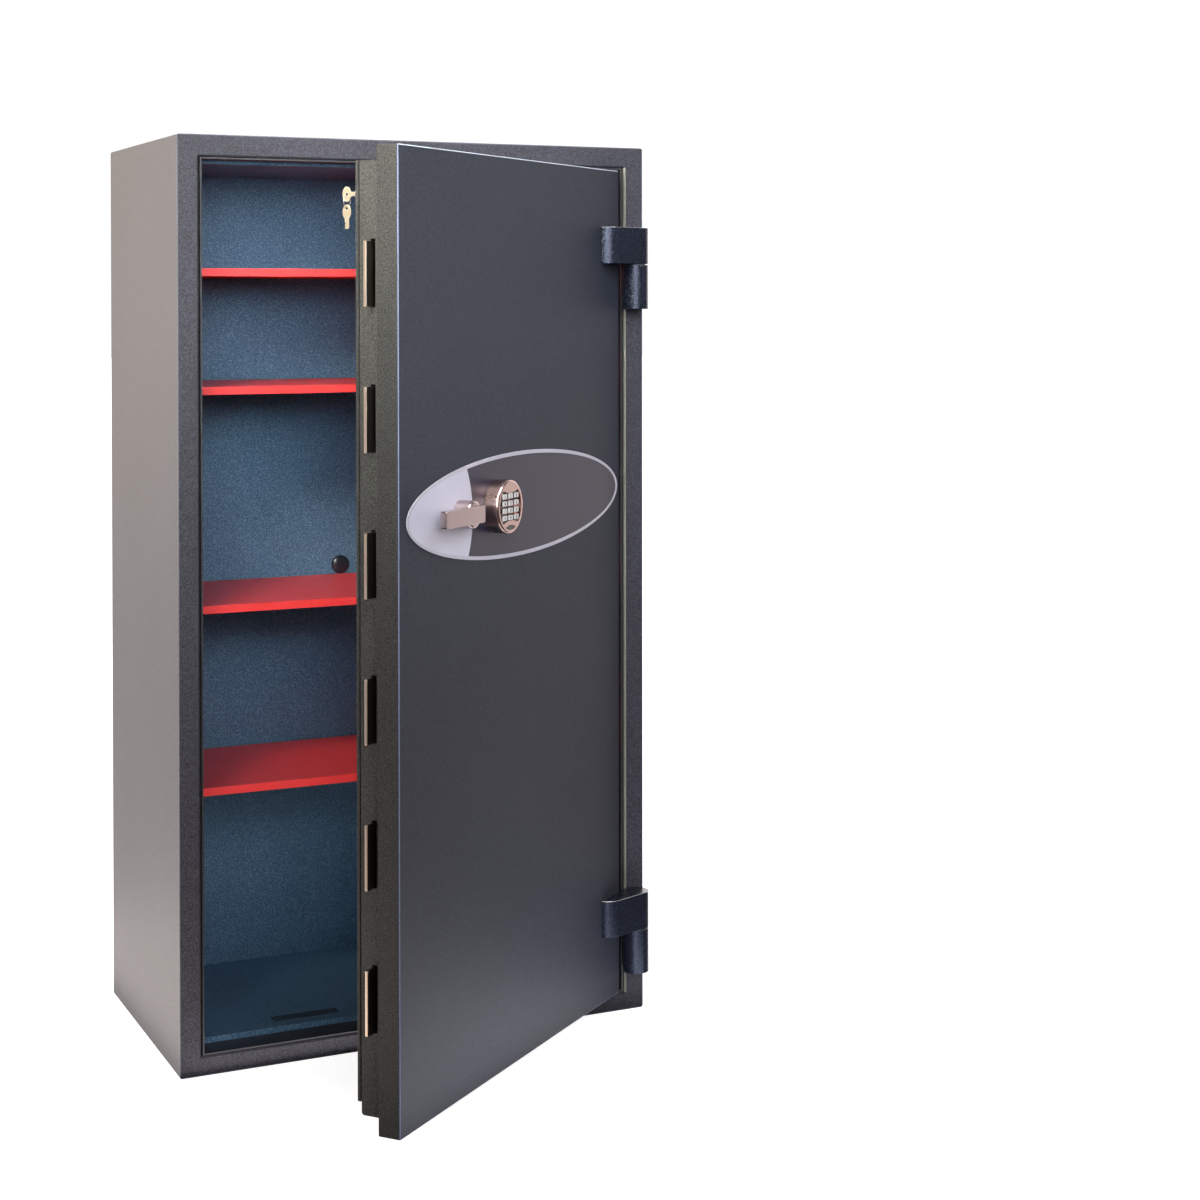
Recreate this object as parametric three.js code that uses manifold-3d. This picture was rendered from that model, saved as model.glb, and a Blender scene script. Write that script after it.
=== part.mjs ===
// Free-standing electronic safe with its door partly open.
// Millimetres, +Z up. The origin is the middle of the cabinet's underside, and the front faces -Y.
import * as THREE from 'three';
import { mergeVertices } from 'three/addons/utils/BufferGeometryUtils.js';
import Module from 'manifold-3d';

const wasm = await Module();
wasm.setup();

// Clearances
const SEAT_GAP = 0.3;
const SLIDE_GAP = 0.4;
const PIN_GAP = 0.08;

// Cabinet
const CABINET_WIDTH = 820;
const CABINET_DEPTH = 470;
const CABINET_HEIGHT = 1500;
const CASING_SHEET = 4;
const CASING_CORNER = 4;
const FRAME_SIDE = 35;
const FRAME_TOP = 35;
const FRAME_BOTTOM = 31;
const FRAME_FOLD = 14;
const FRAME_CHAMFER = 3;
const LINER_SHEET = 2.5;
const LINER_SIDE_GAP = 2.5;
const LINER_END_GAP = 1;
const LINER_SETBACK = 1.5;
const REBATE_DEPTH = 50;
const STEP_SIDE = 5;
const STEP_TOP = 5;
const STEP_BOTTOM = 9;
const BACK_WALL = 45;
const ANCHOR_HEIGHT = 750;
const ANCHOR_HOLE_RADIUS = 8;
const ANCHOR_PLUG_RADIUS = 17;
const ANCHOR_PLUG_RISE = 6;
const ANCHOR_PLUG_STEM = 24;

// Shelves
const SHELF_TOPS = [434, 734, 1094, 1289];
const SHELF_SHEET = 1.5;
const SHELF_LIP = 13.5;
const SHELF_LIP_FOLD = 9;
const SHELF_SETBACK = 58;
const SHELF_BACK_GAP = 5;
const RAIL_THICKNESS = 2.7;
const RAIL_WIDTH = 22;
const RAIL_INSET = 34;
const RAIL_END_GAP = 16;
const CLIP_SHEET = 2;
const CLIP_WIDTH = 18;
const CLIP_HEIGHT = 16;
const CLIP_TONGUE = 16;
const FLOOR_PLATE_LENGTH = 111;
const FLOOR_PLATE_WIDTH = 22;
const FLOOR_PLATE_SHEET = 1.5;
const FLOOR_PLATE_X = -176.5;
const FLOOR_PLATE_SETBACK = 25;
const FLOOR_SCREW_RADIUS = 3.2;
const FLOOR_SCREW_RISE = 1.4;
const FLOOR_SCREW_SPACING = 86;

// Hinges
const HINGE_INSET = 25;
const HINGE_STANDOFF = 23;
const KNUCKLE_RADIUS = 22.5;
const KNUCKLE_HEIGHT = 76;
const KNUCKLE_FOOT_LEFT = 8;
const KNUCKLE_FOOT_RIGHT = 22;
const LEAF_HEIGHT = 62;
const LEAF_REACH = 89;
const LEAF_TIP_RISE = 6;
const LEAF_SHOULDER_X = 69;
const LEAF_SHOULDER_Y = 25;
const LEAF_GAP = 1.6;
const HINGE_JOINTS = [150.7, 1297.5];
const HINGE_NAMES = ['lower', 'upper'];
const HINGE_PIN_RADIUS = 6;
const HINGE_PIN_LENGTH = 104;
const HINGE_COLLAR_RADIUS = 18;
const OPEN_ANGLE = 39;

// Door
const DOOR_GAP = 3;
const DOOR_THICKNESS = 36;
const DOOR_FRONT_SHEET = 5;
const DOOR_SIDE_SHEET = 3;
const DOOR_BACK_SHEET = 3;
const DOOR_EDGE_BEVEL = 2.2;
const DOOR_CORNER = 3;

// Bolt box on the back of the door
const BOX_INSET = 25;
const BOX_BOTTOM_INSET = 16.5;
const BOX_TOP_INSET = 20.5;
const BOX_DEPTH = 44;
const BOX_SHEET = 3;
const BOX_FLANGE = 20;
const BOX_CORNER = 5;
const COVER_GAP = 2;
const COVER_SHEET = 5;
const COVER_BOTTOM_INSET = 18;
const COVER_SCREW_ROWS = 4;
const COVER_SCREW_RADIUS = 2.5;
const COVER_SCREW_HEAD = 5;
const COVER_SCREW_RISE = 2.6;
const COVER_SCREW_INSET = 9;
const COVER_SCREW_END = 90;

// Bolt work, drawn back
const BOLT_COUNT = 6;
const BOLT_PITCH = 210;
const BOLT_RISE = 3;
const BOLT_HEIGHT = 95;
const BOLT_THICKNESS = 5;
const BOLT_LENGTH = 88;
const BOLT_SETBACK = 20.5;
const BOLT_PROUD = 20;
const BOLT_TRAVEL = 20;
const BOLT_NOSE = 1.2;
const SLOT_GAP = 3;
const CARRIAGE_WIDTH = 48;
const CARRIAGE_SETBACK = 46;
const CARRIAGE_THICKNESS = 5;
const CARRIAGE_MARGIN = 42;
const CARRIAGE_ARM_HEIGHT = 50;
const CARRIAGE_ARM_RISE = 26;
const CARRIAGE_CORNER = 5;
const STUD_COUNT = 3;
const STUD_RADIUS = 5;
const STUD_SHOULDER = 9;
const STUD_HEAD = 3;
const STUD_INSET = 11;
const STUD_SPACING = 420;
const DOG_COUNT = 3;
const DOG_PITCH = 420;
const DOG_HEIGHT = 120;
const DOG_THICKNESS = 5;
const DOG_SETBACK = 19;
const DOG_REACH = 33;
const DOG_FOOT = 14;

// Handle, cam and electronic lock
const LOCK_HEIGHT = 917;
const HANDLE_X = -195;
const HUB_RADIUS = 21;
const HUB_LENGTH = 26.5;
const HUB_ROUNDING = 4;
const BAR_LENGTH = 117;
const BAR_HEIGHT = 26;
const BAR_THICKNESS = 10.6;
const BAR_SINK = 4.5;
const BAR_CORNER = 3;
const BAR_BEVEL = 1;
const SPINDLE_RADIUS = 7;
const CAM_RADIUS = 22;
const CAM_THICKNESS = 5;
const CAM_SETBACK = 13;
const CAM_PIN_RADIUS = 4;
const CAM_PIN_LENGTH = 14.5;
const CAM_PIN_SLACK = 0.6;
const HANDLE_TURN = 90;
const LOCK_CASE_WIDTH = 92;
const LOCK_CASE_HEIGHT = 61;
const LOCK_CASE_DEPTH = 33.4;
const LOCK_BOLT_HEIGHT = 24;
const LOCK_BOLT_THICKNESS = 8;
const LOCK_BOLT_LENGTH = 45;
const LOCK_BOLT_REACH = 6;
const LOCK_BOLT_SETBACK = 22;
const LOCK_BOLT_GAP = 1.5;
const LOCK_SCREW_RADIUS = 4;
const LOCK_SCREW_INSET = 7;

// Escutcheon
const PLATE_X = 4;
const PLATE_HALF_WIDTH = 352;
const PLATE_HALF_HEIGHT = 82;
const PLATE_SHEET = 1.2;
const PLATE_BORDER = 6;
const PLATE_BORDER_RISE = 0.5;

// Keypad
const KEYPAD_X = -79;
const KEYPAD_RISE = 2;
const KEYPAD_RADIUS = 41.5;
const KEYPAD_HEIGHT = 24.5;
const KEYPAD_ROUNDING = 3.5;
const KEYPAD_PANEL_RADIUS = 34.5;
const KEYPAD_ARC_OFFSET = 25.5;
const KEYPAD_ARC_RISE = 4.5;
const PANEL_SETBACK = 1.6;
const PANEL_SHEET = 3;
const LENS_HALF_WIDTH = 16;
const LENS_TOP = -28;
const LENS_BOTTOM = -35.6;
const KEY_COLUMNS = 3;
const KEY_ROWS = 4;
const KEY_PITCH_X = 18.5;
const KEY_PITCH_Z = 11.1;
const KEY_WIDTH = 16.2;
const KEY_HEIGHT = 8.7;
const KEY_LENGTH = 5.4;
const KEY_PROUD = 1.7;
const KEY_CORNER = 1;
const KEY_TRIM_RADIUS = 33.4;
const KEY_TRAVEL = 1;
const KEY_NAMES = [
  ['key_1', 'key_2', 'key_3'],
  ['key_4', 'key_5', 'key_6'],
  ['key_7', 'key_8', 'key_9'],
  ['key_star', 'key_0', 'key_hash'],
];
const DRAWER_WIDTH = 60;
const DRAWER_THICKNESS = 15.4;
const DRAWER_HEIGHT = 31;
const DRAWER_WALL = 1.3;
const DRAWER_BASE_GAP = 1.2;
const BATTERY_WIDTH = 48;
const BATTERY_THICKNESS = 12;
const BATTERY_HEIGHT = 24;
const CABLE_RADIUS = 2.5;
const CABLE_HOLE_RADIUS = 5;

// Cover lock and its two keys
const COVER_LOCK_INSET = 12;
const COVER_LOCK_DROP = 48;
const COVER_LOCK_RADIUS = 6.5;
const COVER_LOCK_LENGTH = 22;
const COVER_LOCK_RIM = 9;
const COVER_LOCK_RIM_RISE = 3;
const BOW_HALF_LENGTH = 7;
const BOW_HALF_HEIGHT = 11;
const BOW_THICKNESS = 2;
const BOW_HOLE = 2.2;
const KEY_SHANK = 13;
const KEY_SHANK_HEIGHT = 7;
const KEY_BLADE = 14;
const RING_RADIUS = 9;
const RING_WIRE = 0.8;

// Curved surfaces
const ROUND_STEPS = 32;
const FINE_STEPS = 48;
const SMALL_STEPS = 16;

// Places worked out from the sizes
const FRONT_Y = -CABINET_DEPTH / 2;
const BACK_Y = CABINET_DEPTH / 2;
const SIDE_X = CABINET_WIDTH / 2;
const OPENING_X = SIDE_X - FRAME_SIDE;
const OPENING_BOTTOM = FRAME_BOTTOM;
const OPENING_TOP = CABINET_HEIGHT - FRAME_TOP;
const JAMB_X = OPENING_X - LINER_SIDE_GAP - LINER_SHEET;
const JAMB_BOTTOM = OPENING_BOTTOM + LINER_END_GAP + LINER_SHEET;
const JAMB_TOP = OPENING_TOP - LINER_END_GAP - LINER_SHEET;
const RISER_Y = FRONT_Y + REBATE_DEPTH;
const CAVITY_X = JAMB_X - STEP_SIDE;
const CAVITY_BOTTOM = JAMB_BOTTOM + STEP_BOTTOM;
const CAVITY_TOP = JAMB_TOP - STEP_TOP;
const CAVITY_BACK = BACK_Y - BACK_WALL;
const HINGE_X = SIDE_X - HINGE_INSET;
const HINGE_Y = FRONT_Y - HINGE_STANDOFF;
const DOOR_X = JAMB_X - DOOR_GAP;
const DOOR_BOTTOM = JAMB_BOTTOM + DOOR_GAP;
const DOOR_TOP = JAMB_TOP - DOOR_GAP;
const DOOR_BACK_Y = FRONT_Y + DOOR_THICKNESS;
const BOX_X = DOOR_X - BOX_INSET;
const BOX_BOTTOM = DOOR_BOTTOM + BOX_BOTTOM_INSET;
const BOX_TOP = DOOR_TOP - BOX_TOP_INSET;
const BOX_BACK_Y = DOOR_BACK_Y + BOX_DEPTH;
const COVER_Y = BOX_BACK_Y + COVER_GAP;
const COVER_BACK_Y = COVER_Y + COVER_SHEET;
const BOLT_MIDDLE = (BOX_BOTTOM + BOX_TOP) / 2 + BOLT_RISE;
const BOLT_Y = DOOR_BACK_Y + BOLT_SETBACK;
const BOLT_TIP_X = -BOX_X - BOLT_PROUD;
const CARRIAGE_Y = BOLT_Y + BOLT_THICKNESS + SEAT_GAP;
const CARRIAGE_LEFT = BOLT_TIP_X + CARRIAGE_SETBACK;
const CARRIAGE_RIGHT = CARRIAGE_LEFT + CARRIAGE_WIDTH;
const DOG_Y = DOOR_BACK_Y + DOG_SETBACK;
const DOG_TIP_X = BOX_X + DOG_REACH;
const PLATE_FACE_Y = FRONT_Y - SEAT_GAP - PLATE_SHEET;
const CAM_Y = DOOR_BACK_Y + CAM_SETBACK;
const HALF_TURN = THREE.MathUtils.degToRad(HANDLE_TURN / 2);
const CAM_CRANK = BOLT_TRAVEL / 2 / Math.sin(HALF_TURN);
const CAM_PIN_X = HANDLE_X + BOLT_TRAVEL / 2;
const CAM_PIN_Z = LOCK_HEIGHT + CAM_CRANK * Math.cos(HALF_TURN);
const LOCK_CASE_LEFT = KEYPAD_X - LOCK_CASE_WIDTH / 2;
const LOCK_BOLT_TIP = LOCK_CASE_LEFT - LOCK_BOLT_REACH;
const ARM_END = LOCK_BOLT_TIP - LOCK_BOLT_GAP;
const KEYPAD_Z = LOCK_HEIGHT + KEYPAD_RISE;
const KEYPAD_BASE_Y = PLATE_FACE_Y - SEAT_GAP;
const KEYPAD_FACE_Y = KEYPAD_BASE_Y - KEYPAD_HEIGHT;
const PANEL_FACE_Y = KEYPAD_FACE_Y + PANEL_SETBACK;
const KEY_FACE_Y = PANEL_FACE_Y - KEY_PROUD;
const KEY_POCKET_Y = KEY_FACE_Y + KEY_LENGTH + KEY_TRAVEL + SLIDE_GAP;
const COVER_LOCK_X = -BOX_X + COVER_LOCK_INSET;
const COVER_LOCK_HEIGHT = BOX_TOP - COVER_LOCK_DROP;
const BOW_Y = COVER_BACK_Y + COVER_LOCK_RIM_RISE + KEY_SHANK + BOW_HALF_LENGTH - 1;

// Finishes
const finishes = {
  casing: { color: 0x5c5b65, roughness: 0.55, metalness: 0.3 },
  fill: { color: 0x8d8a84, roughness: 0.95, metalness: 0 },
  liner: { color: 0x3f5264, roughness: 0.45, metalness: 0.35 },
  shelf: { color: 0xd42c30, roughness: 0.4, metalness: 0.1 },
  zinc: { color: 0xb8babd, roughness: 0.35, metalness: 0.9 },
  hinge: { color: 0x3f4350, roughness: 0.4, metalness: 0.4 },
  door: { color: 0x4c5058, roughness: 0.55, metalness: 0.3 },
  steel: { color: 0xc9c6c0, roughness: 0.25, metalness: 1 },
  plate: { color: 0x8f8b9c, roughness: 0.4, metalness: 0.5 },
  nickel: { color: 0xb3a39b, roughness: 0.3, metalness: 0.9 },
  black: { color: 0x17171a, roughness: 0.4, metalness: 0 },
  keycap: { color: 0xe8e4dc, roughness: 0.5, metalness: 0 },
  brass: { color: 0xb58a45, roughness: 0.35, metalness: 0.9 },
  orange: { color: 0xc46a2c, roughness: 0.5, metalness: 0.1 },
};

// Closed mesh to solid, and back
function solid(geometry) {
  const bare = geometry.index ? geometry.clone() : mergeVertices(geometry.clone());
  bare.deleteAttribute('normal');
  bare.deleteAttribute('uv');
  const merged = mergeVertices(bare, 1e-4);
  const source = merged.index.array;
  const triangles = [];
  for (let i = 0; i < source.length; i += 3) {
    const [a, b, c] = [source[i], source[i + 1], source[i + 2]];
    if (a !== b && b !== c && c !== a) triangles.push(a, b, c);
  }
  return new wasm.Manifold(new wasm.Mesh({
    numProp: 3,
    vertProperties: Float32Array.from(merged.attributes.position.array),
    triVerts: Uint32Array.from(triangles),
  }));
}

function geometryOf(body) {
  const mesh = body.getMesh();
  const geometry = new THREE.BufferGeometry();
  geometry.setAttribute('position', new THREE.BufferAttribute(Float32Array.from(mesh.vertProperties), 3));
  geometry.setIndex(new THREE.BufferAttribute(Uint32Array.from(mesh.triVerts), 1));
  geometry.computeVertexNormals();
  return geometry;
}

const joined = (parts) => parts.reduce((whole, part) => whole.add(part));
const cut = (body, parts) => parts.reduce((rest, part) => rest.subtract(part), body);
const grow = ([low, high], by) => [low - by, high + by];

// Forms, each given by its limits along x, y and z
function block([x0, x1], [y0, y1], [z0, z1]) {
  const geometry = new THREE.BoxGeometry(x1 - x0, y1 - y0, z1 - z0);
  geometry.translate((x0 + x1) / 2, (y0 + y1) / 2, (z0 + z1) / 2);
  return solid(geometry);
}

function extruded(shape, depth, bevel, steps, bevelSegments = 2) {
  return new THREE.ExtrudeGeometry(shape, {
    depth: depth - 2 * bevel,
    bevelEnabled: bevel > 0,
    bevelThickness: bevel,
    bevelSize: bevel,
    bevelOffset: -bevel,
    bevelSegments,
    curveSegments: steps,
  }).translate(0, 0, bevel);
}

// A flat outline in x and z, as thick as its limits along y
function panelXZ(shape, [y0, y1], bevel = 0, steps = SMALL_STEPS, bevelSegments = 2) {
  const geometry = extruded(shape, y1 - y0, bevel, steps, bevelSegments);
  geometry.rotateX(Math.PI / 2);
  geometry.translate(0, y1, 0);
  return solid(geometry);
}

// A flat outline in x and y, as high as its limits along z
function panelXY(shape, [z0, z1], bevel = 0, steps = SMALL_STEPS) {
  const geometry = extruded(shape, z1 - z0, bevel, steps);
  geometry.translate(0, 0, z0);
  return solid(geometry);
}

// A flat outline in y and z, as wide as its limits along x
function panelYZ(shape, [x0, x1], steps = SMALL_STEPS) {
  const geometry = extruded(shape, x1 - x0, 0, steps);
  geometry.rotateX(Math.PI / 2);
  geometry.rotateZ(Math.PI / 2);
  geometry.translate(x0, 0, 0);
  return solid(geometry);
}

// A round bar along y or z
function roundY(x, z, radius, [y0, y1], steps = ROUND_STEPS) {
  const geometry = new THREE.CylinderGeometry(radius, radius, y1 - y0, steps);
  geometry.translate(x, (y0 + y1) / 2, z);
  return solid(geometry);
}

function roundZ(x, y, radius, [z0, z1], steps = ROUND_STEPS) {
  const geometry = new THREE.CylinderGeometry(radius, radius, z1 - z0, steps);
  geometry.rotateX(Math.PI / 2);
  geometry.translate(x, y, (z0 + z1) / 2);
  return solid(geometry);
}

// A form turned about a line along y, from [radius, y] pairs of rising y
function turnedY(x, z, profile, steps = ROUND_STEPS) {
  const points = profile.map(([radius, y]) => new THREE.Vector2(radius, y));
  const geometry = new THREE.LatheGeometry(points, steps);
  geometry.translate(x, 0, z);
  return solid(geometry);
}

function roundedOutline([x0, x1], [z0, z1], radius) {
  const shape = new THREE.Shape();
  shape.moveTo(x0 + radius, z0);
  shape.lineTo(x1 - radius, z0);
  shape.absarc(x1 - radius, z0 + radius, radius, -Math.PI / 2, 0, false);
  shape.lineTo(x1, z1 - radius);
  shape.absarc(x1 - radius, z1 - radius, radius, 0, Math.PI / 2, false);
  shape.lineTo(x0 + radius, z1);
  shape.absarc(x0 + radius, z1 - radius, radius, Math.PI / 2, Math.PI, false);
  shape.lineTo(x0, z0 + radius);
  shape.absarc(x0 + radius, z0 + radius, radius, Math.PI, 1.5 * Math.PI, false);
  return shape;
}

function ellipseOutline(x, z, halfWidth, halfHeight, steps = FINE_STEPS) {
  return new THREE.Shape(Array.from({ length: steps }, (_, index) => {
    const angle = (index / steps) * 2 * Math.PI;
    return new THREE.Vector2(x + halfWidth * Math.cos(angle), z + halfHeight * Math.sin(angle));
  }));
}

function piece(name, body, finish) {
  const mesh = new THREE.Mesh(geometryOf(body), new THREE.MeshStandardMaterial(finishes[finish]));
  mesh.name = name;
  return mesh;
}

const safe = new THREE.Group();

// Outer casing: folded sheet with the front frame and the jamb that the door closes into
const innerX = SIDE_X - CASING_SHEET;
const casingShell = cut(
  panelXZ(
    roundedOutline([-SIDE_X, SIDE_X], [0, CABINET_HEIGHT], CASING_CORNER),
    [FRONT_Y, BACK_Y],
    0,
    4,
  ),
  [
    block(
      [-innerX, innerX],
      [FRONT_Y + CASING_SHEET, BACK_Y - CASING_SHEET],
      [CASING_SHEET, CABINET_HEIGHT - CASING_SHEET],
    ),
  ],
);
const around = (x, bottom, top, y, by) => block([-x - by, x + by], y, [bottom - by, top + by]);
const opening = (y, by) => around(OPENING_X, OPENING_BOTTOM, OPENING_TOP, y, by);
const frameFold = opening([FRONT_Y + 1, FRONT_Y + FRAME_FOLD], CASING_SHEET);
const doorway = opening([FRONT_Y - 1, FRONT_Y + FRAME_FOLD + 1], 0);
const edgeChamfer = panelXZ(
  roundedOutline(
    [-OPENING_X - FRAME_CHAMFER, OPENING_X + FRAME_CHAMFER],
    [OPENING_BOTTOM - FRAME_CHAMFER, OPENING_TOP + FRAME_CHAMFER],
    FRAME_CHAMFER + 1,
  ),
  [FRONT_Y - 3 * FRAME_CHAMFER, FRONT_Y + FRAME_CHAMFER],
  FRAME_CHAMFER,
  2,
  1,
);
const anchorBore = roundY(
  0,
  ANCHOR_HEIGHT,
  ANCHOR_HOLE_RADIUS,
  [CAVITY_BACK - 1, BACK_Y + 1],
  SMALL_STEPS,
);
const casing = cut(casingShell.add(frameFold), [doorway, edgeChamfer, anchorBore]);
safe.add(piece('outer_casing', casing, 'casing'));

// Heights of the bolts and of the fixed dogs on the hinge side
const spread = (count, pitch) => Array.from({ length: count }, (_, index) => (
  BOLT_MIDDLE + (index - (count - 1) / 2) * pitch
));
const boltZs = spread(BOLT_COUNT, BOLT_PITCH);
const dogZs = spread(DOG_COUNT, DOG_PITCH);
const boltPockets = (x, gap) => boltZs.map((z) => block(
  [-x, -CAVITY_X + 1],
  [BOLT_Y - gap, BOLT_Y + BOLT_THICKNESS + gap],
  [z - BOLT_HEIGHT / 2 - gap, z + BOLT_HEIGHT / 2 + gap],
));
const dogPockets = (x, gap) => dogZs.map((z) => block(
  [CAVITY_X - 1, x],
  [DOG_Y - gap, DOG_Y + DOG_THICKNESS + gap],
  [z - DOG_HEIGHT / 2 - gap, z + DOG_HEIGHT / 2 + gap],
));

// Inner liner: a stepped sheet box open at the front, slotted for the bolts and the dogs
const jambLiner = (y, by) => around(JAMB_X, JAMB_BOTTOM, JAMB_TOP, y, by);
const cavityLiner = (y, by) => around(CAVITY_X, CAVITY_BOTTOM, CAVITY_TOP, y, by);
const linerBlank = jambLiner([FRONT_Y + LINER_SETBACK, RISER_Y + LINER_SHEET], LINER_SHEET).add(
  cavityLiner([RISER_Y, CAVITY_BACK + LINER_SHEET], LINER_SHEET),
);
const liner = cut(linerBlank, [
  jambLiner([FRONT_Y, RISER_Y], 0),
  cavityLiner([FRONT_Y, CAVITY_BACK], 0),
  anchorBore,
  ...boltPockets(CAVITY_X + 2 * LINER_SHEET, SLOT_GAP),
  ...dogPockets(CAVITY_X + 2 * LINER_SHEET, SLOT_GAP),
]);
safe.add(piece('inner_liner', liner, 'liner'));

// Barrier fill between the casing and the liner, with pockets behind the slots
const linerSkin = LINER_SHEET + SEAT_GAP;
const fillBlank = block(
  [-innerX + SEAT_GAP, innerX - SEAT_GAP],
  [FRONT_Y + CASING_SHEET + SEAT_GAP, BACK_Y - CASING_SHEET - SEAT_GAP],
  [CASING_SHEET + SEAT_GAP, CABINET_HEIGHT - CASING_SHEET - SEAT_GAP],
);
const fill = cut(fillBlank, [
  opening([FRONT_Y, FRONT_Y + FRAME_FOLD + SEAT_GAP], CASING_SHEET + SEAT_GAP),
  jambLiner([FRONT_Y, RISER_Y + linerSkin], linerSkin),
  cavityLiner([FRONT_Y, CAVITY_BACK + linerSkin], linerSkin),
  anchorBore,
  ...boltPockets(-BOLT_TIP_X + BOLT_TRAVEL + SLOT_GAP, SLOT_GAP),
  ...dogPockets(DOG_TIP_X + SLOT_GAP, SLOT_GAP),
]);
safe.add(piece('barrier_fill', fill, 'fill'));

// Domed plug in the wall anchor hole
const plugFaceY = CAVITY_BACK - SEAT_GAP;
const plugProfile = [[0, plugFaceY - ANCHOR_PLUG_RISE]];
for (let step = 1; step <= 5; step += 1) {
  const angle = (step / 5) * (Math.PI / 2);
  plugProfile.push([
    ANCHOR_PLUG_RADIUS * Math.sin(angle),
    plugFaceY - ANCHOR_PLUG_RISE * Math.cos(angle),
  ]);
}
const plugStem = ANCHOR_HOLE_RADIUS - SLIDE_GAP;
plugProfile.push([plugStem, plugFaceY], [plugStem, plugFaceY + ANCHOR_PLUG_STEM]);
plugProfile.push([0, plugFaceY + ANCHOR_PLUG_STEM]);
safe.add(piece('anchor_plug', turnedY(0, ANCHOR_HEIGHT, plugProfile, 20), 'liner'));

// Plate with two screws on the floor behind the sill
const plateFrontY = RISER_Y + FLOOR_PLATE_SETBACK;
const plateZ = CAVITY_BOTTOM + SEAT_GAP;
const floorPlate = block(
  [FLOOR_PLATE_X - FLOOR_PLATE_LENGTH / 2, FLOOR_PLATE_X + FLOOR_PLATE_LENGTH / 2],
  [plateFrontY, plateFrontY + FLOOR_PLATE_WIDTH],
  [plateZ, plateZ + FLOOR_PLATE_SHEET],
);
const floorScrews = [-1, 1].map((side) => roundZ(
  FLOOR_PLATE_X + (side * FLOOR_SCREW_SPACING) / 2,
  plateFrontY + FLOOR_PLATE_WIDTH / 2,
  FLOOR_SCREW_RADIUS,
  [plateZ, plateZ + FLOOR_PLATE_SHEET + FLOOR_SCREW_RISE],
  SMALL_STEPS,
));
safe.add(piece('floor_plate', joined([floorPlate, ...floorScrews]), 'liner'));

// Rails on the side walls, each with a clip under every shelf
const shelfFront = RISER_Y + SHELF_SETBACK;
const shelfBack = CAVITY_BACK - SHELF_BACK_GAP;
const railZ = [CAVITY_BOTTOM + RAIL_END_GAP, CAVITY_TOP - RAIL_END_GAP];
const railFaceX = CAVITY_X - SEAT_GAP - RAIL_THICKNESS;
const clipFaceX = railFaceX - CLIP_SHEET;
const span = (side, from, to) => [Math.min(side * from, side * to), Math.max(side * from, side * to)];

// A clip is a plate hooked over the rail, bent inwards into a tongue that the shelf lies on
function clip(side, y, shelfTop) {
  const foot = shelfTop - SHELF_LIP - SEAT_GAP - CLIP_SHEET;
  const width = [y - CLIP_WIDTH / 2, y + CLIP_WIDTH / 2];
  const plate = block(span(side, clipFaceX, railFaceX + 1), width, [foot, foot + CLIP_HEIGHT]);
  const tongueX = span(side, clipFaceX - CLIP_TONGUE, railFaceX + 1);
  const tongue = block(tongueX, width, [foot, foot + CLIP_SHEET]);
  return plate.add(tongue);
}

function rail(side, y) {
  const strip = block(
    span(side, railFaceX, CAVITY_X - SEAT_GAP),
    [y - RAIL_WIDTH / 2, y + RAIL_WIDTH / 2],
    railZ,
  );
  return joined([strip, ...SHELF_TOPS.map((top) => clip(side, y, top))]);
}

[[-1, 'left'], [1, 'right']].forEach(([side, name]) => {
  safe.add(piece(`shelf_rail_front_${name}`, rail(side, shelfFront + RAIL_INSET), 'liner'));
  safe.add(piece(`shelf_rail_back_${name}`, rail(side, shelfBack - RAIL_INSET), 'liner'));
});

// Shelves: folded sheet trays, turned down on all four sides, with a return under the front lip
const shelfX = clipFaceX - SEAT_GAP;
function shelf(top) {
  const tray = block([-shelfX, shelfX], [shelfFront, shelfBack], [top - SHELF_LIP, top]);
  const hollow = block(
    [-shelfX + SHELF_SHEET, shelfX - SHELF_SHEET],
    [shelfFront + SHELF_SHEET, shelfBack - SHELF_SHEET],
    [top - SHELF_LIP - 1, top - SHELF_SHEET],
  );
  const fold = block(
    [-shelfX + SHELF_SHEET / 2, shelfX - SHELF_SHEET / 2],
    [shelfFront + SHELF_SHEET / 2, shelfFront + SHELF_LIP_FOLD],
    [top - SHELF_LIP, top - SHELF_LIP + SHELF_SHEET],
  );
  return cut(tray, [hollow]).add(fold);
}
SHELF_TOPS.forEach((top, index) => safe.add(piece(`shelf_${index + 1}`, shelf(top), 'shelf')));

// Body knuckles: round, with a foot that runs back to the frame
const leafBackY = FRONT_Y - SEAT_GAP;
function knuckle(z) {
  const round = roundZ(HINGE_X, HINGE_Y, KNUCKLE_RADIUS, z, FINE_STEPS);
  const foot = block([HINGE_X - KNUCKLE_FOOT_LEFT, HINGE_X + KNUCKLE_FOOT_RIGHT], [HINGE_Y, leafBackY], z);
  return round.add(foot);
}

// Door leaves: from a blunt tip on the door, a taper rises to the round end at the pin
function leafOutline() {
  const shape = new THREE.Shape();
  const shoulder = new THREE.Vector2(HINGE_X - LEAF_SHOULDER_X, FRONT_Y - LEAF_SHOULDER_Y);
  const reach = Math.hypot(LEAF_SHOULDER_X, HINGE_Y - shoulder.y);
  const towardShoulder = Math.atan2(shoulder.y - HINGE_Y, -LEAF_SHOULDER_X);
  const tangent = towardShoulder + Math.acos(KNUCKLE_RADIUS / reach);
  shape.moveTo(HINGE_X - LEAF_REACH, leafBackY);
  shape.lineTo(HINGE_X - LEAF_REACH + 1, FRONT_Y - LEAF_TIP_RISE);
  shape.quadraticCurveTo(
    HINGE_X - LEAF_REACH + 6,
    FRONT_Y - LEAF_SHOULDER_Y + 4,
    shoulder.x,
    shoulder.y,
  );
  shape.absarc(HINGE_X, HINGE_Y, KNUCKLE_RADIUS, tangent, Math.PI / 2, false);
  return shape;
}

const door = new THREE.Group();

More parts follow.
